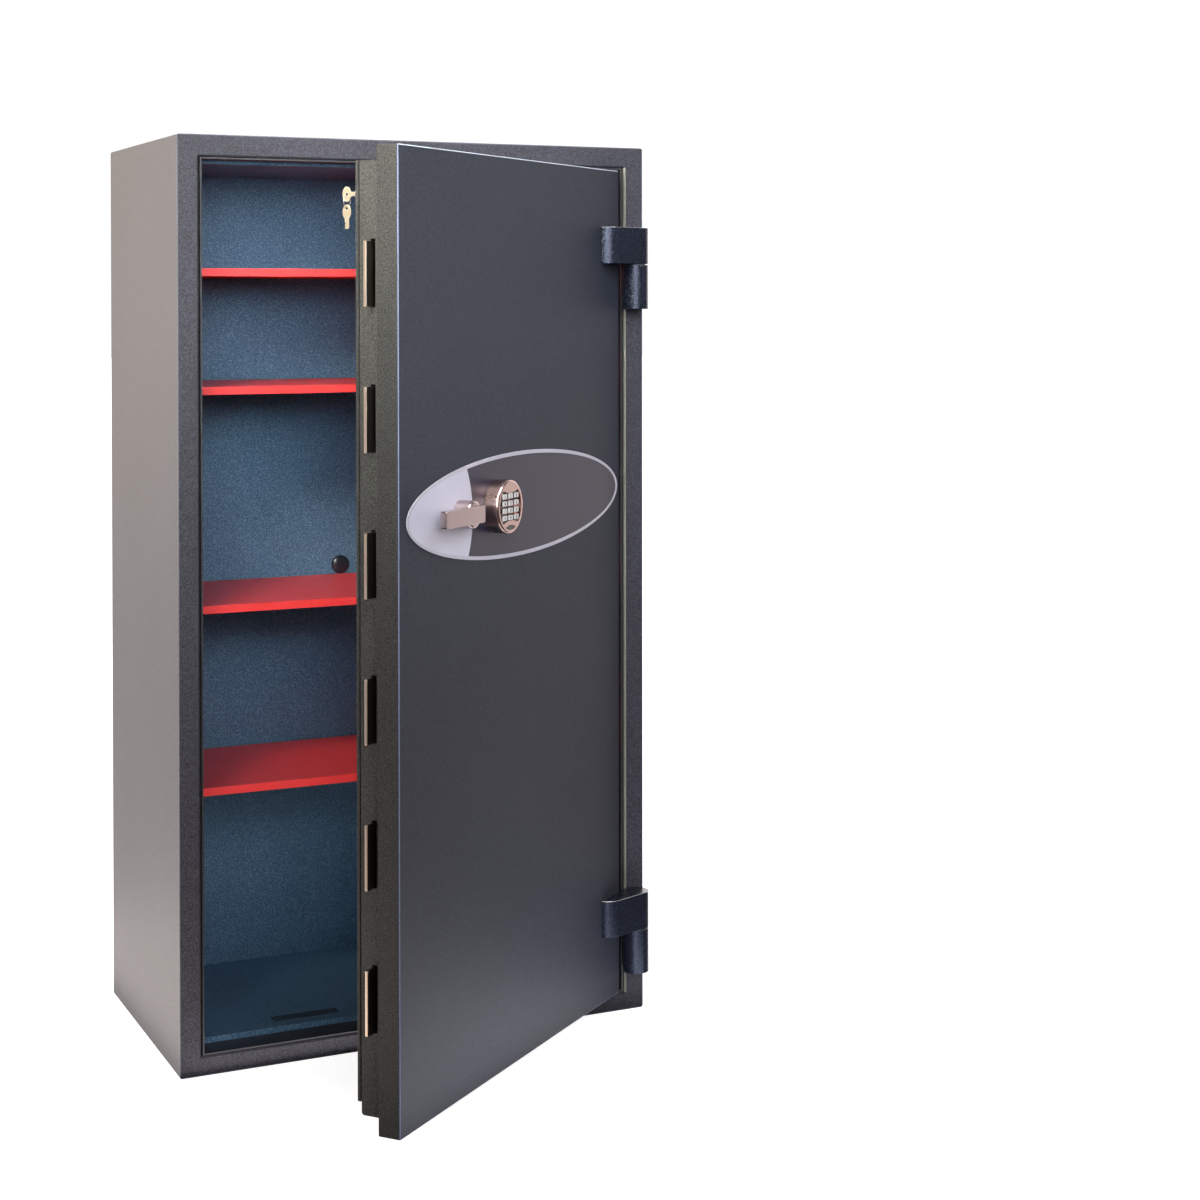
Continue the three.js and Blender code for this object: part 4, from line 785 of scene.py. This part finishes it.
# %% Wall plug and hinges
PLUG_Z, PLUG_RISE, PLUG_SHANK = 0.750, 6 * mm, 7.6 * mm
plug_y = 0.190 - SEAT_GAP
dome = domed(17 * mm, plug_y - PLUG_RISE, 17 * mm, PLUG_RISE, 12)
dome += [(PLUG_SHANK, plug_y), (PLUG_SHANK, plug_y + 24 * mm), (0, plug_y + 24 * mm)]
plug = softened(made("anchor_plug_turned", turned(0, PLUG_Z, dome, 64), "plug_cap"), 0)
settled(plug, "cabinet", "blue_coat", "anchor_plug")

for place in ("upper", "lower"):
    dressed(f"hinge_knuckle_{place}", "cabinet", "hinge_coat", 1.2 * mm, 3)
    dressed(f"hinge_leaf_{place}", "door", "hinge_coat", 1.2 * mm, 3)
    painted(f"hinge_pin_{place}", "oiled_steel")
print("hinge parts:", [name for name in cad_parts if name.startswith("hinge")])

# %% [markdown]
# ## Door slab and bolt box
# The door is a pressed tray over its fill, and the bolt box behind it is folded sheet. Both keep
# their CAD shape. The bevels are narrow on the box, where thin folds would swallow a wide one.

# %% Door slab and bolt box
dressed("door_skin", "door", "door_coat", 0.9 * mm, 3, slot="graphite_coat", limit=40)
dressed("bolt_box", "door", "box_coat", 0.7 * mm, 2, slot="graphite_coat")
dressed("hinge_side_dogs", "door", "bare_steel", 0.6 * mm, 2)
for number in range(1, 7):
    node = f"bolt_{number}"
    dressed(node, "bolts", "bare_steel", 0.5 * mm, 3, name=f"{node}_ground", limit=25)
for node, finish in (
    ("door_core", "barrier_fill"), ("door_back_plate", "door_coat"),
    ("bolt_carriage", "zinc_plate"), ("carriage_studs", "zinc_plate"),
    ("lock_case", "zinc_plate"), ("handle_spindle", "zinc_plate"),
    ("lock_bolt", "brass"), ("keypad_cable", "black_plastic"),
):
    painted(node, finish)
print("the door, its bolt box and", number, "bolts are dressed")

# %% [markdown]
# ## Rear cover and its screws
# The cover is one flat sheet with a hole for its lock. Eight pan-head screws hold it: one is
# modelled, and a Geometry Nodes tree sets it on every point, each turned by chance.

# %% Rear cover
COVER_Y, COVER_BACK = -0.153, -0.148
COVER_LOCK = (-0.330, 1.390)
cover_loops = [rounded_outline(-0.342, 0.342, 0.072, 1.438, 3 * mm), circle(*COVER_LOCK, 6.8 * mm)]
on_door(
    "rear_cover_sheet", slab(cover_loops, COVER_Y, COVER_BACK), "door_coat", "rear_cover",
    slot="graphite_coat", width=1.0 * mm, segments=3,
)
print("cover is", round((COVER_BACK - COVER_Y) / mm, 1), "mm deep")

# %% Screw tree
def turned_by_chance(graph, given):
    chance = graph.node("FunctionNodeRandomValue", {"data_type": "FLOAT"}, {"Seed": 7}, 1)
    spin = graph.node("ShaderNodeCombineXYZ", {}, {"Y": chance * given["Turn"]})
    return {"Points": given["Points"], "Rotation": spin}


screw_inputs = {"Points": "Geometry", "Turn": "Float"}
screw_kit = setting_tree("screws_on_points", screw_inputs, turned_by_chance)
print("screw tree has", len(screw_kit[0].nodes), "nodes")

# %% Cover screws
def pan_screw(head, rise, shank, tip):
    """A pan head with a cross recess, its seat at y = 0 and its crown towards +y."""
    profile = [(0, tip), (shank, tip), (shank, 0), (head, 0), (head, rise * 0.35)]
    for k in range(1, 7):
        a = k / 6 * pi / 2
        profile.append((head * (0.55 + 0.45 * cos(a)), rise * (0.35 + 0.65 * sin(a))))
    profile.append((0, rise))
    screw = made("screw", turned(0, 0, profile, 32), "zinc_plate")
    arm, reach, deep = head * 0.14, head * 0.58, rise * 0.7
    cross = [(-arm, -reach), (arm, -reach), (arm, -arm)]
    for k in range(9):
        x, z = cross[k]
        cross.append((-z, x))
    return carved(screw, slab([cross], rise - deep, rise + 1 * mm))


SCREW_LOW, SCREW_HIGH, SCREW_X = 0.162, 1.348, 0.333
rows = [SCREW_LOW + (SCREW_HIGH - SCREW_LOW) * k / 3 for k in range(4)]
screw_points = bpy.data.meshes.new("cover_screws")
screw_points.from_pydata([(x, COVER_BACK, z) for z in rows for x in (-SCREW_X, SCREW_X)], [], [])
screw = pan_screw(5 * mm, 2.6 * mm, 2.5 * mm, -14 * mm)
zinc = finishes["zinc_plate"].material
screws = grown(
    "rear_cover_screws", *screw_kit, base=screw_points, Piece=screw, Turn=pi, Finish=zinc,
)
bpy.data.objects.remove(screw)
screws.data.transform(door_turn)
screws.data.materials.clear()
screws.data.materials.append(zinc)
settled(softened(screws, 0, sharp=40), "door", "graphite_coat", "rear_cover")
print("screws:", len(rows) * 2, "with", len(screws.data.polygons), "faces in all")

# %% [markdown]
# ## Cover lock and its two keys
# A cylinder lock sits in the cover near its top, with its key in it, and a spare hangs from the
# first on a split ring. The keys are stamped: an outline with a hole and teeth, drawn out.

# %% Cover lock
lock_seat = COVER_BACK + SEAT_GAP
lock_back = lock_seat + 3 * mm
lock_profile = [
    (0, lock_back - 22 * mm), (6.5 * mm, lock_back - 22 * mm), (6.5 * mm, lock_seat),
    (9 * mm, lock_seat), (9 * mm, lock_back - 1.2 * mm), (8.6 * mm, lock_back - 0.4 * mm),
    (7.8 * mm, lock_back), (5.4 * mm, lock_back), (5.2 * mm, lock_back - 0.5 * mm),
    (4.9 * mm, lock_back - 0.5 * mm), (4.7 * mm, lock_back - 0.1 * mm), (0, lock_back - 0.1 * mm),
]
cover_lock = made("cover_lock_turned", turned(*COVER_LOCK, lock_profile, 64), "zinc_plate")
keyway = [(-0.3308, 1.3862), (-0.3292, 1.3862), (-0.3292, 1.3938), (-0.3308, 1.3938)]
carved(cover_lock, slab([keyway], lock_back - 6 * mm, lock_back + 1 * mm))
cover_lock.data.transform(door_turn)
settled(softened(cover_lock, 0, sharp=35), "door", "zinc_plate", "cover_lock")
print("cover lock at", COVER_LOCK)

# %% Keys and ring
BOW_Y = -0.126
KEY_SIDES = (-0.331, -0.329)
SPARE_Z, SPARE_HOLE_Z, RING_TOP = 1.3643, 1.3698, 1.3889


def key_outline(along, top, blade, half_width=3.5 * mm, teeth=(0.6, 1.5, 0.9, 1.8, 0.5)):
    """A key in its own plane: a bow round (0, 0) and a blade down to -blade."""
    points = []
    for k in range(41):
        a = radians(-62 + (180 + 124) * k / 40)
        points.append((along * cos(a), top * sin(a)))
    shoulder = points[-1][1] - 1.5 * mm
    points += [(-half_width, shoulder), (-half_width, -blade + 2 * mm), (-half_width * 0.3, -blade)]
    run = (shoulder + blade - 1 * mm) / (2 * len(teeth))
    level = -blade + 0.6 * mm
    for depth in teeth:
        notch, crest = half_width - depth * mm, half_width - 0.2 * mm
        points += [(notch, level), (notch, level + run * 0.8)]
        level += run
        points += [(crest, level + run * 0.3), (crest, level + run * 0.6)]
        level += run
    return points + [(half_width, shoulder)]


def stamped(node, outline, hole_z):
    loops = [outline, circle(BOW_Y, hole_z, 2.2 * mm, 24)]
    form = slab(loops, *KEY_SIDES, lambda u, v, w: Vector((w, u, v)))
    finish = {"body": node, "slot": "zinc_plate", "width": 0.3 * mm}
    on_door(f"{node}_stamped", form, "key_nickel", node, **finish)


# The first key points into the lock, so its own "down" is towards the door
first = [(BOW_Y + v, COVER_LOCK[1] - u) for u, v in key_outline(11 * mm, 7 * mm, 18.2 * mm)]
stamped("cover_key", first, COVER_LOCK[1])
second = [(BOW_Y + u, SPARE_Z + v) for u, v in key_outline(7 * mm, 11 * mm, 25 * mm)]
stamped("spare_key", second, SPARE_HOLE_Z)


def split_ring(x, y, z, radius, wire, turns=1.85, steps=120):
    """Wire wound nearly twice round."""
    form, rings = bmesh.new(), []
    for share in (k / steps for k in range(steps + 1)):
        a = share * turns * 2 * pi
        out = Vector((cos(a), 0, sin(a)))
        middle = Vector((x, y + (share - 0.5) * wire * 0.95, z)) + out * radius
        section = circle(0, 0, wire / 2, 10)
        rings.append([form.verts.new(middle + out * u + Vector((0, v, 0))) for u, v in section])
    for end in (rings[0], rings[-1]):
        form.faces.new(end)
    return skinned(form, rings)


ring = split_ring(COVER_LOCK[0], BOW_Y, RING_TOP - 9 * mm, 9 * mm, 0.85 * mm)
on_door("key_ring_wound", ring, "zinc_plate", "key_ring", body="spare_key")
print("ring hangs at", RING_TOP, "m")

# %% [markdown]
# ## Escutcheon
# The plate behind the handle is a long ellipse with a raised, paler border. Field and border are
# two pieces, which keeps the line between the two paints sharp.

# %% Escutcheon
PLATE, HANDLE, KEYPAD = (0.004, 0.917), (-0.195, 0.917), (-0.079, 0.919)
PLATE_HALF_X, PLATE_HALF_Z, BORDER = 0.352, 0.082, 6 * mm
plate_back, plate_face, border_face = -0.2353, -0.2365, -0.2370


def ellipse(inset):
    return circle(*PLATE, PLATE_HALF_X - inset, 288, PLATE_HALF_Z - inset)


field_loops = [ellipse(5.8 * mm), circle(*HANDLE, 7.08 * mm), circle(*KEYPAD, 5 * mm, 24)]
field = slab(field_loops, plate_back, plate_face)
on_door("escutcheon_field", field, "lilac_plate", "escutcheon", sharp=40)
border = slab([ellipse(0), ellipse(BORDER)], plate_back, border_face)
on_door(
    "escutcheon_border", border, "plate_border", "escutcheon",
    slot="lilac_plate", width=0.3 * mm, segments=3,
)
print("ellipse", 2 * PLATE_HALF_X, "by", 2 * PLATE_HALF_Z, "m")

# %% [markdown]
# ## Handle
# The handle is a turned hub with a flat lever bar let into its end. The bar is an outline with
# rounded corners drawn out to its thickness, and its edges are broken by a millimetre, which gives
# the bright line along the top.

# %% Handle
HUB_RADIUS, LEVER_SHEET = 21 * mm, 10.6 * mm
hub_base = plate_face - SEAT_GAP
hub_end = hub_base - 26.5 * mm
hub_profile = [(0, hub_end)] + domed(HUB_RADIUS, hub_end, 4 * mm, 4 * mm, 10) + [
    (HUB_RADIUS, hub_base - 0.6 * mm), (HUB_RADIUS - 0.6 * mm, hub_base), (0, hub_base),
]
hub = turned(*HANDLE, hub_profile)
on_door("handle_hub", hub, "satin_nickel", "handle", body="handle", sharp=35)
lever_back = hub_end + 4.5 * mm
lever_outline = rounded_outline(-0.291, -0.174, 0.904, 0.930, 3 * mm, 8)
lever = slab([lever_outline], lever_back, lever_back - LEVER_SHEET)
edges = {"width": 1.1 * mm, "segments": 4}
on_door("handle_lever", lever, "satin_nickel", "handle", body="handle", **edges)
print("lever front at y", round(lever_back - LEVER_SHEET, 4))

# %% [markdown]
# ## Keypad
# The keypad's body is turned, with a rolled rim. A panel recess with concave ends, an eye-shaped
# one for a lens and a slot for the battery drawer are cut into it with a Boolean.

# %% Keypad body
PAD_RADIUS, PANEL_RADIUS = 41.5 * mm, 34.5 * mm
PAD_FACE = hub_base - 24.5 * mm
PANEL_FACE = PAD_FACE + 1.6 * mm
KEY_FACE = PANEL_FACE - 1.7 * mm


def bowed(start, pull, end, steps=14):
    """Points of a curve from start to end, pulled towards a third point."""
    shares = [k / steps for k in range(steps)]
    weights = [((1 - t) ** 2, 2 * t * (1 - t), t * t) for t in shares]
    return [
        tuple(a * s + b * p + c * e for s, p, e in zip(start, pull, end)) for a, b, c in weights
    ]


def panel_outline(radius, inset=0.0):
    lift = 25.5 * mm - inset
    half = sqrt(radius * radius - lift * lift)
    start = atan2(lift, half)
    x, z = KEYPAD
    arc = [start * (2 * k / 28 - 1) for k in range(28)]
    right, left = ([(x + r * cos(a), z + r * sin(a)) for a in arc] for r in (radius, -radius))
    over = bowed((x + half, z + lift), (x, z + lift - 9 * mm), (x - half, z + lift))
    under = bowed((x - half, z - lift), (x, z - lift + 9 * mm), (x + half, z - lift))
    return right + over + left + under


def lens_outline(gap):
    x, z = KEYPAD
    middle, rise, half = z - 31.8 * mm, 7.6 * mm + gap, 16 * mm + gap
    lower = bowed((x - half, middle), (x, middle - rise), (x + half, middle))
    return lower + bowed((x + half, middle), (x, middle + rise), (x - half, middle))


pad_profile = [(0, PAD_FACE)] + domed(PAD_RADIUS, PAD_FACE, 3.5 * mm, 3.5 * mm, 10) + [
    (PAD_RADIUS, hub_base - 0.5 * mm), (PAD_RADIUS - 0.5 * mm, hub_base), (0, hub_base),
]
pad = made("keypad_body", turned(*KEYPAD, pad_profile, 128), "keypad_nickel")
drawer_hole = rounded_outline(-0.1094, -0.0486, 0.8700, 0.9089, 0.5 * mm, 2)
drawer_high = hub_base - 1.2 * mm
drawer_low = drawer_high - 15.4 * mm
carved(
    pad,
    slab([panel_outline(PANEL_RADIUS)], PAD_FACE - 1 * mm, KEY_FACE + 6.8 * mm),
    slab([lens_outline(0.3 * mm)], PAD_FACE - 1 * mm, PAD_FACE + 2.3 * mm),
    slab([drawer_hole], drawer_low - 0.4 * mm, drawer_high + 0.4 * mm),
)
pad.data.transform(door_turn)
settled(softened(pad, 0.3 * mm, 3, limit=40), "door", "satin_nickel", "keypad_housing")
print("keypad face at y", round(PAD_FACE, 4))

# %% [markdown]
# ## Keys, panel and lens
# Twelve silicone keys stand in a black panel. Each outline is a rounded rectangle whose far points
# are drawn in to a trimming circle. The panel uses the same outlines as holes, a little larger, so
# keys and holes can't disagree. The printed figures are thin faces just proud of the keys. A key's
# finish turns dark half a millimetre down its side, as painted shade in the gap round the key.

# %% Keys' finish and outlines
rubber = Finish("pale_rubber", Metallic=0.0)
# The key's side turns dark below the cap: painted shade in the gap round the key.
side_shade = rubber.split(rubber.shut_place())[1].above(KEY_FACE + 0.5 * mm, 4000)
rubber_grain = rubber.noise(2200)
cap_colour = rubber.between(rubber_grain, (196, 190, 190), (218, 212, 210))
rubber.link(
    rubber.between(side_shade, cap_colour, (20, 19, 21)),
    0.44 + rubber_grain * 0.12,
    rubber.relief(rubber_grain, 0.04 * mm, 0.7),
)
KEY_ROWS = (("1", "2", "3"), ("4", "5", "6"), ("7", "8", "9"), ("star", "0", "hash"))
COLUMN_STEP, ROW_STEP, TRIM_RADIUS = 18.5 * mm, 11.1 * mm, 33.4 * mm


def key_outline_at(column, row, gap):
    """A key's outline, with a point every millimetre."""
    middle_x, middle_z = KEYPAD
    x = middle_x + (column - 1) * COLUMN_STEP
    z = middle_z - (row - 1.5) * ROW_STEP
    half_x, half_z, corner = 7.3 * mm + gap, 3.9 * mm + gap, 1.3 * mm + gap
    rough = rounded_outline(x - half_x, x + half_x, z - half_z, z + half_z, corner, 5)
    trimmed = []
    for (ax, az), (bx, bz) in zip(rough, rough[1:] + rough[:1]):
        parts = max(1, round(hypot(bx - ax, bz - az) / mm))
        for k in range(parts):
            out_x = ax + (bx - ax) * k / parts - middle_x
            out_z = az + (bz - az) * k / parts - middle_z
            share = min(1.0, (TRIM_RADIUS + gap) / hypot(out_x, out_z))
            trimmed.append((middle_x + out_x * share, middle_z + out_z * share))
    return trimmed


print("keys are", COLUMN_STEP / mm, "by", ROW_STEP / mm, "mm apart")

# %% Keys, panel and lens
holes = [key_outline_at(column, row, 0.4 * mm) for row in range(4) for column in range(3)]
panel_loops = [panel_outline(PANEL_RADIUS - 0.3 * mm, 0.3 * mm)] + holes
panel = slab(panel_loops, PANEL_FACE, PANEL_FACE + 3 * mm)
on_door("keypad_panel_moulded", panel, "black_plastic", "keypad_panel", width=0.2 * mm)
lens = slab([lens_outline(0)], PAD_FACE + 0.5 * mm, PAD_FACE + 2 * mm)
on_door(
    "keypad_lens_moulded", lens, "lens_plastic", "keypad_lens",
    slot="black_plastic", width=0.3 * mm, segments=3,
)


def printed(name, sign, size, x, z, y):
    """A printed sign as a thin mesh that faces the front."""
    text = bpy.data.curves.new(name, "FONT")
    text.body, text.size = sign, size
    text.align_x, text.align_y = "CENTER", "CENTER"
    text.extrude, text.offset = 0.04 * mm, 0.14 * mm
    text.resolution_u = 4
    holder = placed(name, text)
    graph = bpy.context.evaluated_depsgraph_get()
    mesh = bpy.data.meshes.new_from_object(holder.evaluated_get(graph), depsgraph=graph)
    bpy.data.objects.remove(holder)
    heights = [v.co.y for v in mesh.vertices]
    mesh.transform(Matrix.Translation((0, -(min(heights) + max(heights)) / 2, 0)))
    upright = Matrix.Translation((x, y, z)) @ Matrix.Rotation(pi / 2, 4, "X")
    mesh.transform(door_turn @ upright)
    mesh.materials.clear()
    mesh.materials.append(finishes["key_ink"].material)
    return placed(name, mesh)


for row, names in enumerate(KEY_ROWS):
    for column, sign in enumerate(names):
        node, outline = f"key_{sign}", key_outline_at(column, row, 0)
        key = slab([outline], KEY_FACE, KEY_FACE + 5.4 * mm)
        shape = {"body": f"{node}_cap", "width": 0.7 * mm, "segments": 3}
        on_door(f"{node}_moulded", key, "pale_rubber", node, **shape)
        x, z = (sum(values) / len(outline) for values in zip(*outline))
        glyph = {"star": "*", "hash": "#"}.get(sign, sign)
        mark = printed(f"figure_{sign}", glyph, 7.4 * mm, x, z, KEY_FACE - 0.03 * mm)
        settled(mark, f"{node}_cap", "black_plastic")
print("twelve keys, each with its figure")

# %% [markdown]
# ## Lamps and battery drawer
# Two pin-head lamps show in the panel's margins. The drawer in the foot of the keypad follows the
# round body, so the CAD form is kept and only its edges are broken.

# %% Lamps and battery drawer
LAMP_RADIUS, LAMP_RISE = 1.0 * mm, 0.5 * mm
lamp_foot = PANEL_FACE + LAMP_RISE
lamp_profile = domed(LAMP_RADIUS, PANEL_FACE - LAMP_RISE, LAMP_RADIUS, LAMP_RISE, 6)
lamp_profile += [(LAMP_RADIUS, lamp_foot), (0, lamp_foot)]
for name, dx, dz in (("green_lamp", -29.9 * mm, 9.9 * mm), ("red_lamp", 28.7 * mm, 15.6 * mm)):
    lamp = turned(KEYPAD[0] + dx, KEYPAD[1] + dz, lamp_profile, 24)
    on_door(name, lamp, name, slot="black_plastic")
dressed(
    "battery_drawer", "battery_drawer", "black_plastic", 0.3 * mm, 2, name="battery_drawer_moulded",
)
painted("battery", "battery_sleeve")

# %% [markdown]
# ## Floor, white surround and studio lights
# A large warm soft box behind on the left makes the side panel the lightest face, and a broad one
# in front lights the door and the inside. Small ones, high and close, brighten the top edges.
# Cards only show in reflections, as white boards do. The floor is there to be seen only: three
# low lights stand for the glow that comes back from it, so that its reach can be set.

# %% Floor and surround
floor_finish = Finish(
    "pale_floor", Metallic=0.0, Specular_IOR_Level=0.2,
    Emission_Color=(1, 1, 1, 1), Emission_Strength=0.85,
)
dust = floor_finish.noise(2.0)
pale = floor_finish.between(dust, (240, 240, 240), (246, 246, 246))
floor_finish.link(pale, 0.75 + dust * 0.1)
floor_form = bmesh.new()
bmesh.ops.create_circle(floor_form, cap_ends=True, segments=128, radius=45)
floor = made("floor", floor_form, "pale_floor")
floor.data.transform(Matrix.Translation((0, 0, -0.6 * mm)))
floor.visible_diffuse = False
floor.visible_glossy = False
floor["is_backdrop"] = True

world = bpy.data.worlds.new("surround")
bpy.context.scene.world = world
world.use_nodes = True
sky = Graph(world.node_tree)
ahead = sky.split(sky.node("ShaderNodeTexCoord", {}, {}, "Generated"))[1]
limits = {"Value": ahead, "From Min": 0.05, "From Max": 0.7, "To Min": 0.075, "To Max": 2.6}
strength = sky.node("ShaderNodeMapRange", {"interpolation_type": "SMOOTHSTEP"}, limits, "Result")
lit = {"Color": (1.0, 0.93, 0.90, 1), "Strength": strength}
seen = {"Color": (1, 1, 1, 1), "Strength": 1.05}
either = {
    0: sky.node("ShaderNodeLightPath", {}, {}, "Is Camera Ray"),
    1: sky.node("ShaderNodeBackground", {}, lit),
    2: sky.node("ShaderNodeBackground", {}, seen),
}
sky.node("ShaderNodeOutputWorld", {}, {"Surface": sky.node("ShaderNodeMixShader", {}, either)})
bpy.context.scene.view_settings.view_transform = "Standard"
print("surround has", len(sky.tree.nodes), "nodes")

# %% Studio lights
def soft_box(name, place, target, width, height, watts, colour, spread=180, card=False):
    """An area light, or a card that only shows in reflections."""
    data = bpy.data.lights.new(name, "AREA")
    data.shape, data.size, data.size_y = "RECTANGLE", width, height
    data.energy, data.color, data.spread = watts, colour, radians(spread)
    lamp = placed(name, data)
    lamp.location = place
    lamp.rotation_euler = (Vector(target) - Vector(place)).to_track_quat("-Z", "Y").to_euler()
    lamp.visible_diffuse = not card
    return lamp


def floor_glow(name, x, y, width, depth, turn, watts, colour):
    """A light that lies on the floor and shines up."""
    lamp = soft_box(name, (x, y, 4 * mm), (x, y, 1), width, depth, watts, colour)
    lamp.rotation_euler = (pi, 0, radians(turn))


cool, warm, rosy, ivory = (0.95, 0.97, 1), (1, 0.82, 0.63), (1, 0.93, 0.93), (1, 0.96, 0.93)
middle, reflected = (0.0, 0.0, 0.95), (0.0, -0.5, 0.9)
soft_box("left_box", (-2.7, 3.3, 1.9), (-0.41, 0.0, 0.9), 2.4, 2.8, 86, warm)
soft_box("high_box", (0.9, -1.6, 2.3), (0.1, -0.4, 1.45), 1.0, 0.6, 5, (0.76, 0.9, 1.0), 90)
soft_box("edge_box", (-0.9, -1.25, 1.9), (-0.2, -0.6, 1.4), 0.4, 0.4, 5.4, (1.0, 0.98, 0.84), 60)
soft_box("front_box", (-0.6, -4.8, 2.2), middle, 2.2, 1.8, 108, rosy)
soft_box("low_front_box", (-2.4, -4.4, 1.6), middle, 2.2, 1.8, 19, cool)
soft_box("inner_box", (-0.95, -2.6, 1.6), (-0.1, 0.19, 1.14), 0.8, 0.5, 1.8, (0.85, 0.97, 1.0), 40)
soft_box("right_box", (3.4, -2.4, 1.6), (0.2, -0.4, 0.9), 1.2, 2.2, 5, cool)
soft_box("left_card", (-3.2, -1.3, 1.0), reflected, 1.6, 2.4, 8, rosy, card=True)
soft_box("right_card", (3.4, 0.5, 1.0), reflected, 1.8, 2.4, 7, rosy, card=True)
soft_box("top_card", (-0.3, -1.4, 2.9), (-0.1, -0.5, 1.0), 2.0, 1.2, 58, ivory, card=True)
floor_glow("left_glow", -0.85, -0.1, 0.8, 1.7, 0, 10, (1.0, 0.9, 0.78))
floor_glow("sill_glow", -0.08, -0.31, 0.66, 0.12, 0, 0.8, (1.0, 0.96, 0.92))
floor_glow("door_glow", 0.19, -0.63, 0.8, 0.26, 39, 2.0, cool)

# %% [markdown]
# ## Measure and finish
# The dressed safe must not grow past the CAD model, so its visual box is printed.

# %% Measure and finish
low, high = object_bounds()
print("visual box", [round(v, 4) for v in low], [round(v, 4) for v in high])
